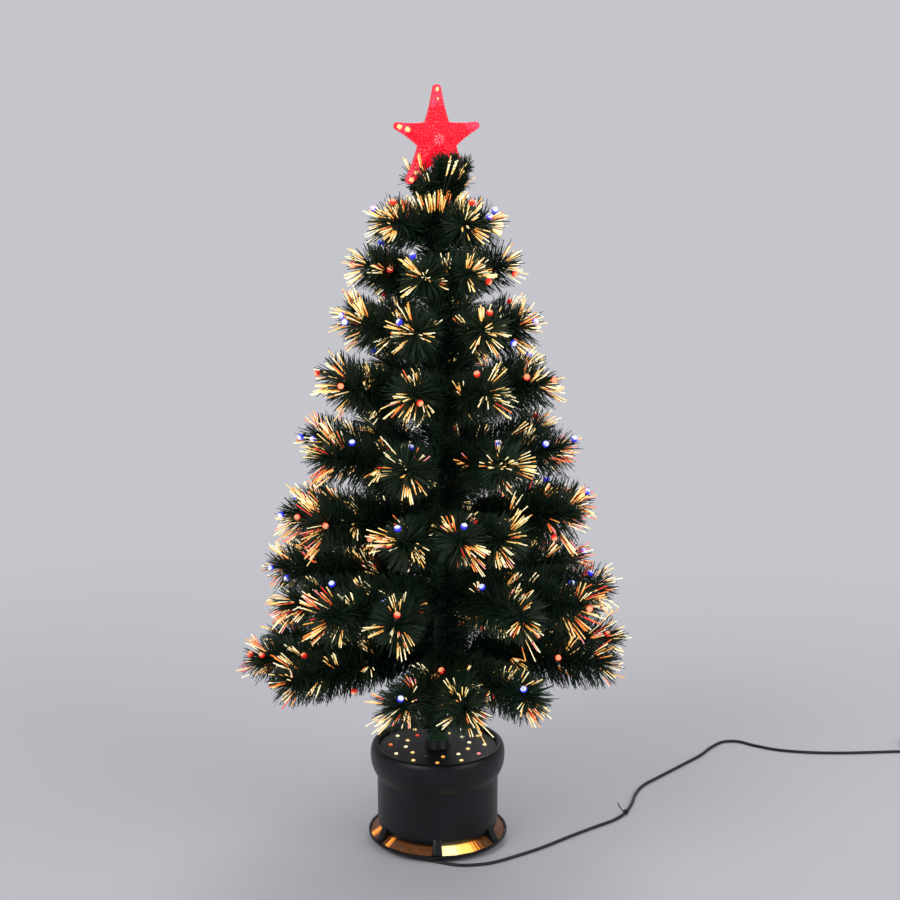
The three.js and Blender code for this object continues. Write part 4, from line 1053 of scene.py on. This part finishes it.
starForm = Form(
    centre=1119, radius=81, notch=31.5, tip=6, tipTurn=65, edge=3.8, depth=12.5, wall=2, turn=20,
    arms=(1, 0.87, 0.98, 0.98, 0.87),  # reach of each arm, from the upright one round
    # the next line ends with two values of painted highlight: the share of a pebble's height where its lit top
    # starts, and the distance from the centre past which that top is painted pink
    waist=1.6, boss=8.5, bossRise=2.2, petals=8, petalDepth=1.1, peakShare=0.42, pinkFrom=50,
    pebble=1.5, pebbleRadius=3.2, pebbleSpacing=5.8, between=38, rows=66, innerRows=8, seed=31, beadRise=1.6,
    beads=[  # arm, distance from the centre, radius, and whether it gets a painted yellow glint
        (0, 74.5, 2.9, 1), (0, 60, 2.2, 1), (1, 63.5, 4.1, 1), (1, 51.5, 3.8, 1), (2, 73, 3.9, 1),
        (2, 60, 3.2, 1), (3, 73, 3.2, 0), (3, 60, 2.6, 0), (4, 64, 3.2, 0), (4, 52, 2.6, 0),
    ],
)


def armAngle(form, k):
    return pi / 2 + fullTurn * k / len(form.arms)


def fromBeads(form, flat):
    # each bead's radius and whether it gets the painted yellow glint, with how far every place is from its
    # middle
    for k, out, size, glinting in form.beads:
        yield size, glinting, np.linalg.norm(flat - polar(armAngle(form, k), out), axis=1)


def starOutline(form, inset=0.0):
    swing = np.radians(np.linspace(-form.tipTurn, form.tipTurn, 9))
    tips = [polar(armAngle(form, k), form.radius * share - form.tip)
            + polar(armAngle(form, k) + swing, form.tip - inset) for k, share in enumerate(form.arms)]
    s = np.linspace(0, 1, form.between + 2)[:-1, None]
    spots = []
    for k, tip in enumerate(tips):
        way = polar(armAngle(form, k + 0.5))
        valley = way * (form.notch - inset * 1.6)
        down, rise = (start * (1 - s) + end * s - way * form.waist * np.sin(pi * s)
                      for start, end in ((tip[-1], valley), (valley, tips[(k + 1) % len(tips)][0])))
        spots += [*tip, *down[1:], *rise]
    return np.array(spots)


def starRelief(form, spots, front):
    # pebbles, beads near the tips, and the rosette at the middle of the front
    reach, step = form.radius, form.pebbleSpacing
    rows = np.arange(-reach, reach, step * 0.87)
    cells = np.array([(x + (row % 2) * step / 2, y) for row, y in enumerate(rows)
                      for x in np.arange(-reach, reach, step)])
    cells += np.random.default_rng(form.seed + front).uniform(-0.22, 0.22, cells.shape) * step
    near = np.full(len(spots), 1e9)
    for part in np.array_split(cells, 12):
        near = np.minimum(near, np.linalg.norm(spots[:, None] - part, axis=2).min(1))
    relief = form.pebble * np.clip(1 - (near / form.pebbleRadius) ** 2, 0, 1)
    radius = np.linalg.norm(spots, axis=1)
    if front:
        relief *= np.clip((radius - form.boss * 0.8) / 4, 0, 1)
    for size, _, away in fromBeads(form, spots):
        relief = np.maximum(relief, form.beadRise * np.sqrt(np.clip(1 - (away / size) ** 2, 0, 1)))
    if front:
        share = np.clip(radius / form.boss, 0, 1)
        petals = np.cos(form.petals * np.arctan2(spots[:, 1], spots[:, 0])) * np.sin(share * pi)
        relief += np.sqrt(1 - share ** 2) * form.bossRise + petals * form.petalDepth
    return relief


def starHalf(form, front):
    # outer and inner skins with a rim between them; the roof rises to its middle in ridges
    outline, hollow, middle = starOutline(form), starOutline(form, form.wall), np.zeros((1, 1, 2))
    n, rows, innerRows, depth = len(outline), form.rows, form.innerRows, form.depth

    def skin(flat, count):
        scale = 1 - np.arange(count)[:, None] / count
        return flat * scale[..., None], form.edge + (depth - form.edge) * (1 - scale)

    (outer, roof), (inner, innerRoof) = skin(outline, rows), skin(hollow, innerRows)
    relief = starRelief(form, outer.reshape(-1, 2), front).reshape(rows, n)
    relief[0] *= 0.25
    peak = depth + (form.bossRise if front else form.pebble / 2)
    points = np.vstack([
        np.dstack([flat, np.broadcast_to(height, flat.shape[:2])]).reshape(-1, 3) for flat, height in (
            (hollow[None], 0.15), (outline[None], 0.15), (outer, roof + relief), (middle, peak),
            (inner, np.maximum(innerRoof - form.wall, 0.8)), (middle, depth - form.wall))])
    # slots: 0 body, 1 beads with a painted yellow glint, 2 rosette petals with a painted pale pink highlight, 3
    # pebble tops and the rest of the boss with a painted highlight, 4 a painted pink highlight on the arm ends'
    # pebble tops, the rim and the other beads
    flat, height, kind = points[:, :2], points[:, 2], np.zeros(len(points), int)
    distance = np.linalg.norm(flat, axis=1)
    highlighted = 2 * n + np.flatnonzero(relief > form.pebble * form.peakShare)
    kind[highlighted] = np.where(distance[highlighted] > form.pinkFrom, 4, 3)
    # the rim row gets the painted pink highlight
    kind[2 * n:3 * n] = 4
    # beads take the painted yellow glint, the others the painted pink highlight
    for size, glinting, away in fromBeads(form, flat):
        kind[(away < size) & (height > form.edge)] = 1 if glinting else 4
    # on the front the rosette's petals get a painted pale pink highlight, and the rest of its boss the pebble
    # tops' painted highlight
    if front:
        petal = np.cos(form.petals * np.arctan2(flat[:, 1], flat[:, 0])) > -0.2
        boss = (distance < form.boss) & (height > depth - 4)
        kind[boss] = np.where(petal & (distance > form.boss * 0.2), 2, 3)[boss]
    k, after = np.arange(n), (np.arange(n) + 1) % n
    last, top = (rows + 1) * n, (rows + 2) * n
    faces = [face for row in range(rows + 1) for face in band(row * n, (row + 1) * n, n)]
    faces += np.stack([last + k, last + after, 0 * k + top], 1).tolist()
    levels = [0, *range(top + 1, top + 1 + innerRows * n, n)]
    faces += [face[::-1] for low, high in zip(levels, levels[1:]) for face in band(low, high, n)]
    faces += np.stack([levels[-1] + after, levels[-1] + k, 0 * k + levels[-1] + n], 1).tolist()
    slots = [kind[face[0]] if len(set(kind[face])) < 3 else 0 for face in faces]
    # stand it up: the face looks along -Y in front and +Y behind
    way = 1 if front else -1
    points = np.column_stack([points[:, 0] * way, -points[:, 2] * way, points[:, 1]])
    return turn(points, radians(form.turn)) + up * form.centre, faces, slots


starGloss = {"IOR": 1.49, "Coat Weight": 0.25, "Coat Roughness": 0.08, "Specular IOR Level": 0.35}
starAcrylic = newFinish("starAcrylic", [(0.32, 0.001, 0.007), (0.5, 0.004, 0.02)], grain=130,
                        roughness=(0.1, 0.22), bump=0.25, bumpGrain=700, bumpKind="TexVoronoi", **starGloss,
                        **{"Transmission Weight": 0.12, "Emission Color": (1.0, 0.002, 0.014, 1),
                           "Emission Strength": 0.62})
# all but the first are painted highlights: the beads' yellow glint, the rosette's pale petals, the pebble tops,
# and the pink arm ends and rim
starFinishes = [
    starAcrylic,
    lit("starBeadGlint", [(0.6, 0.42, 0.18), (0.7, 0.5, 0.25)], (1.0, 0.66, 0.24), 1.0),
    lit("starRosetteHighlight", [(0.7, 0.12, 0.14), (0.8, 0.18, 0.2)], (1.0, 0.17, 0.20), 0.62),
    lit("starPebbleHighlight", [(0.5, 0.003, 0.014), (0.75, 0.009, 0.035)], (1.0, 0.005, 0.03), 0.75, grain=90,
        **starGloss),
    lit("starPinkHighlight", [(0.7, 0.03, 0.08), (0.9, 0.07, 0.14)], (1.0, 0.05, 0.11), 0.66, grain=90, **starGloss),
]
for front, word in ((1, "Front"), (0, "Back")):
    piece("star" + word, Mould().add(*starHalf(starForm, front)), starFinishes, "star",
          ["star_" + word.lower()], limit=75)

starLampForm = Form(
    socketFoot=1063, socketTop=1105, socketRadius=6.1, bore=4.3, boreTop=1103.2,
    lampFoot=1105.3, lampRadius=3, lampLength=11, glassShare=0.88,
)


def makeStarLamp(form, finishes):
    r, low, high = form.socketRadius, form.socketFoot, form.socketTop
    socket = [(0, form.boreTop), (form.bore, form.boreTop), (form.bore, low), (r, low)]
    for z in np.linspace(low + 6, high - 8, 5):  # grip rings
        socket += [(r, z - 1.2), (r + 0.5, z - 0.5), (r + 0.5, z + 0.5), (r, z + 1.2)]
    socket += [(r, high - 0.8), (r - 0.8, high), (0, high)]
    lathe("starSocket", socket, 32, finishes[0], "star", "star_socket")
    r, low, high = form.lampRadius, form.lampFoot, form.lampFoot + form.lampLength
    glass = r * form.glassShare
    lamp = [(0, low), (r, low), (r, low + 1), (glass, low + 1.4), (glass, high - r)]
    lamp += [(glass * cos(t), high - r + r * sin(t)) for t in (0.4, 0.8, 1.2)]
    lathe("starLamp", [*lamp, (0, high)], 24, finishes[1], "star", "star_lamp")


starGlow = lit("starGlow", [(1.0, 0.8, 0.7), (1.0, 0.9, 0.8)], (1.0, 0.75, 0.6), 3.0)
makeStarLamp(starLampForm, [starAcrylic, starGlow])
print("star done")


# Works inside the pot

worksForm = Form(
    lampFoot=45.6, lampLength=33, lampRadius=17.5, holderRadius=9, holderFoot=27.3, holderHeight=18,
    motorFoot=56.3, motorHeight=15, motorRadius=18.5, shaftRadius=2.5, shaftLength=13,
    wheelOffset=38, wheelRadius=53, wheelFoot=82.6, wheelTop=84.2, wheelGap=0.012, sectors=5, sectorSteps=14,
    hubRadius=7, ferruleFoot=88.2, ferruleLength=30, ferruleRadius=11.5,
)


def makeWorks(form, finishes):
    low, length, r, wide = form.lampFoot, form.lampLength, form.lampRadius, form.holderRadius
    high = low + length
    lamp = [(0, low), (wide / 2, low), (wide / 2, low + length * 0.2)]
    lamp += [(r * (0.36 + 0.64 * sin(t)), low + length * (0.2 + 0.68 * (1 - cos(t))))
             for t in np.linspace(0.2, 1.57, 9)]
    lamp += [(r, high - 2), (r - 0.6, high), (r - 1.6, high), (r - 2.2, high - 1.6), (0, high - 1.2)]

    def ribs(reach, z, a):
        return reach * (1 + 0.018 * np.cos(24 * a) * ((z > low + length * 0.3) & (z < low + length * 0.9)))

    lathe("lampReflector", lamp, 96, finishes.glass, "base", "halogen_lamp", ripple=ribs)
    foot, top, neck = form.holderFoot, form.holderFoot + form.holderHeight, wide - 0.8
    holder = [(0, foot), (neck, foot), (wide, foot + 0.8), (wide, foot + 6), (neck, foot + 6.6),
              (neck, foot + 8.4), (wide, foot + 9), (wide, top - 0.8), (neck, top), (0, top)]
    lathe("lampHolder", holder, 48, finishes.ceramic, "base", "lamp_holder")
    foot, r, shaft = form.motorFoot, form.motorRadius, form.shaftRadius
    top, tip = foot + form.motorHeight, foot + form.motorHeight + form.shaftLength
    motor = [(0, foot), (r - 1, foot), (r, foot + 1), (r, top - 3), (r - 0.7, top - 2.4), (r - 0.7, top - 1.4),
             (r, top - 0.9), (r - 1, top), (6, top), (5.5, top + 1.2), (shaft, top + 1.2), (shaft, tip - 0.4),
             (shaft - 0.4, tip), (0, tip)]
    centre = [-form.wheelOffset, 0, 0]
    lathe("wheelMotor", motor, 64, finishes.steel, "base", "wheel_motor", centre)
    makeWheel(form, finishes, centre, tip + 0.3)
    foot, top, r = form.ferruleFoot, form.ferruleFoot + form.ferruleLength, form.ferruleRadius
    ferrule = [(0, foot + 0.3), (r - 1.4, foot + 0.3), (r - 1.2, foot), (r - 0.4, foot), (r, foot + 0.5)]
    for z in (foot + 8, foot + 20):  # crimped rings
        ferrule += [(r, z - 1.5), (r - 0.7, z - 0.6), (r - 0.7, z + 0.6), (r, z + 1.5)]
    ferrule += [(r, top - 0.5), (r - 0.5, top), (0, top)]
    lathe("fibreFerrule", ferrule, 64, finishes.brass, "tree", "fibre_ferrule")


def makeWheel(form, finishes, centre, shaftTop):
    hub, out, low, high = form.hubRadius, form.wheelRadius, form.wheelFoot, form.wheelTop
    outline = [(hub - 0.5, low + 0.2), (out - 0.4, low + 0.2), (out, low + 0.8), (out - 0.4, high - 0.2),
               (hub - 0.5, high - 0.2)]
    span, mould = fullTurn / form.sectors, Mould()
    for sector in range(form.sectors):
        angles = sector * span + np.linspace(form.wheelGap, span - form.wheelGap, form.sectorSteps + 1)
        points = np.array([(*polar(a, r), z) for a in angles for r, z in outline])
        mould.add(points + centre, swept(len(angles), len(outline)), sector)
    bore, foot = form.shaftRadius + 0.3, low - 4
    points, faces = turned([(0, shaftTop), (bore, shaftTop), (bore, foot), (hub - 0.5, foot), (hub, foot + 0.5),
                            (hub, high + 0.9), (hub - 0.8, shaftTop + 2), (0, shaftTop + 2)], 40, closed=False)
    mould.add(points + centre, faces, form.sectors)
    piece("colourWheel", mould, [*finishes.films, finishes.hub], "wheel", ["colour_wheel"])


worksFinishes = Form(
    glass=newFinish("lampGlass", [(0.86, 0.88, 0.9), (0.95, 0.95, 0.93)], grain=150, roughness=(0.05, 0.16),
                    **{"Metallic": 0.6, "Emission Color": (1, 0.85, 0.6, 1), "Emission Strength": 0.3}),
    ceramic=newFinish("holderCeramic", [(0.74, 0.7, 0.62), (0.84, 0.8, 0.72)], roughness=(0.5, 0.7), bump=0.3),
    steel=newFinish("motorSteel", [(0.45, 0.46, 0.48), (0.62, 0.63, 0.65)], grain=220, roughness=(0.25, 0.4),
                    bump=0.15, Metallic=1.0),
    brass=newFinish("ferruleBrass", [(0.66, 0.48, 0.2), (0.82, 0.64, 0.32)], grain=160, roughness=(0.22, 0.36),
                    bump=0.1, Metallic=1.0),
    films=[newFinish("film" + word, [tuple(c * 0.9 for c in colour), colour], roughness=(0.08, 0.16),
                     **{"Transmission Weight": 0.7})
           for word, colour in (("Red", (0.8, 0.05, 0.04)), ("Amber", (0.95, 0.5, 0.05)),
                                ("Clear", (0.9, 0.9, 0.88)), ("Blue", (0.06, 0.12, 0.8)),
                                ("Rose", (0.85, 0.2, 0.45)))],
    hub=newFinish("wheelHub", [(0.6, 0.6, 0.58), (0.72, 0.72, 0.7)], roughness=(0.35, 0.5), bump=0.2),
)
makeWorks(worksForm, worksFinishes)

# CAD nodes whose shapes are right keep them, with finishes of their own
fibreBundle = newFinish("fibreBundle", [(0.7, 0.68, 0.6), (0.86, 0.84, 0.76)], grain=900, roughness=(0.15, 0.3),
                        bump=0.7, bumpGrain=1700)
keptFinishes = {
    "base_plate": potPlastic, "lamp_bracket": worksFinishes.steel, "trunk_tube": trunkPaint,
    "fibre_bundle": fibreBundle, "cord_gland": rubberFoot, "inner_lead": leadPlastic,
}
for node, material in keptFinishes.items():
    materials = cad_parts[node].data.materials
    materials.clear()
    materials.append(material)
print("works done")


# Floor, backdrop and light

stageForm = Form(
    floor=(0.62, 0.62, 0.66), floorSize=16, backdrop=(0.56, 0.56, 0.60), worldLight=0.6,
    fadeFrom=0.55, fadeTo=2.2,  # distances over which the floor turns into the backdrop
    lamps=[  # place, aim, size, watts
        ((-2.2, -2.4, 3.0), (0, 0, 0.6), 2.2, 62),
        ((2.6, -1.8, 2.2), (0, 0, 0.6), 2.4, 34),
        ((0.4, 2.4, 2.8), (0, 0, 0.7), 2.0, 40),
    ],
)


def floorFinish(form, backdrop):
    material = newFinish("floorPaint", [form.floor, tuple(c * 0.985 for c in form.floor)], grain=3,
                         roughness=(0.75, 0.85))
    tree = material.node_tree
    coords = addNode(tree, "TexCoord").outputs["Object"]
    path = addNode(tree, "LightPath").outputs["Is Camera Ray"]
    away = addNode(tree, "VectorMath", {0: coords}, operation="LENGTH").outputs["Value"]
    fade = addNode(tree, "MapRange", {"Value": away, "From Min": form.fadeFrom, "From Max": form.fadeTo},
                   interpolation_type="SMOOTHSTEP").outputs["Result"]
    seen = addNode(tree, "Math", {0: fade, 1: path}, operation="MULTIPLY").outputs["Value"]
    glow = addNode(tree, "Emission", {"Color": backdrop}).outputs["Emission"]
    mix = addNode(tree, "MixShader", {"Fac": seen, 1: tree.nodes["Principled BSDF"].outputs["BSDF"], 2: glow})
    feed(tree, tree.nodes["Material Output"], {"Surface": mix.outputs["Shader"]})
    return material


def makeStage(form):
    half, backdrop = form.floorSize / 2, (*form.backdrop, 1)
    mesh = bpy.data.meshes.new("floor")
    corners = [(-half, -half, 0), (half, -half, 0), (half, half, 0), (-half, half, 0)]
    mesh.from_pydata(corners, [], [(0, 1, 2, 3)])
    mesh.materials.append(floorFinish(form, backdrop))
    link("floor", mesh)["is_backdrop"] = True
    world = bpy.data.worlds.new("studio")
    bpy.context.scene.world = world
    world.use_nodes = True
    tree = world.node_tree
    light = feed(tree, tree.nodes["Background"], {"Color": backdrop, "Strength": form.worldLight})
    seen, path = addNode(tree, "Background", {"Color": backdrop}), addNode(tree, "LightPath")
    mix = addNode(tree, "MixShader", {"Fac": path.outputs["Is Camera Ray"], 1: light.outputs["Background"],
                                      2: seen.outputs["Background"]})
    feed(tree, tree.nodes["World Output"], {"Surface": mix.outputs["Shader"]})
    for k, (place, aim, size, watts) in enumerate(form.lamps):
        data = bpy.data.lights.new(f"softbox{k + 1}", "AREA")
        data.size, data.energy = size, watts
        lamp = link(data.name, data)
        lamp.location = place
        lamp.rotation_mode = "QUATERNION"
        lamp.rotation_quaternion = (Vector(aim) - Vector(place)).to_track_quat("-Z", "Y")


makeStage(stageForm)
bpy.context.scene.view_settings.view_transform = "Standard"

faceCount = sum(len(o.data.polygons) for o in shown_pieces() if o.type == "MESH")
print("faces in all:", faceCount)
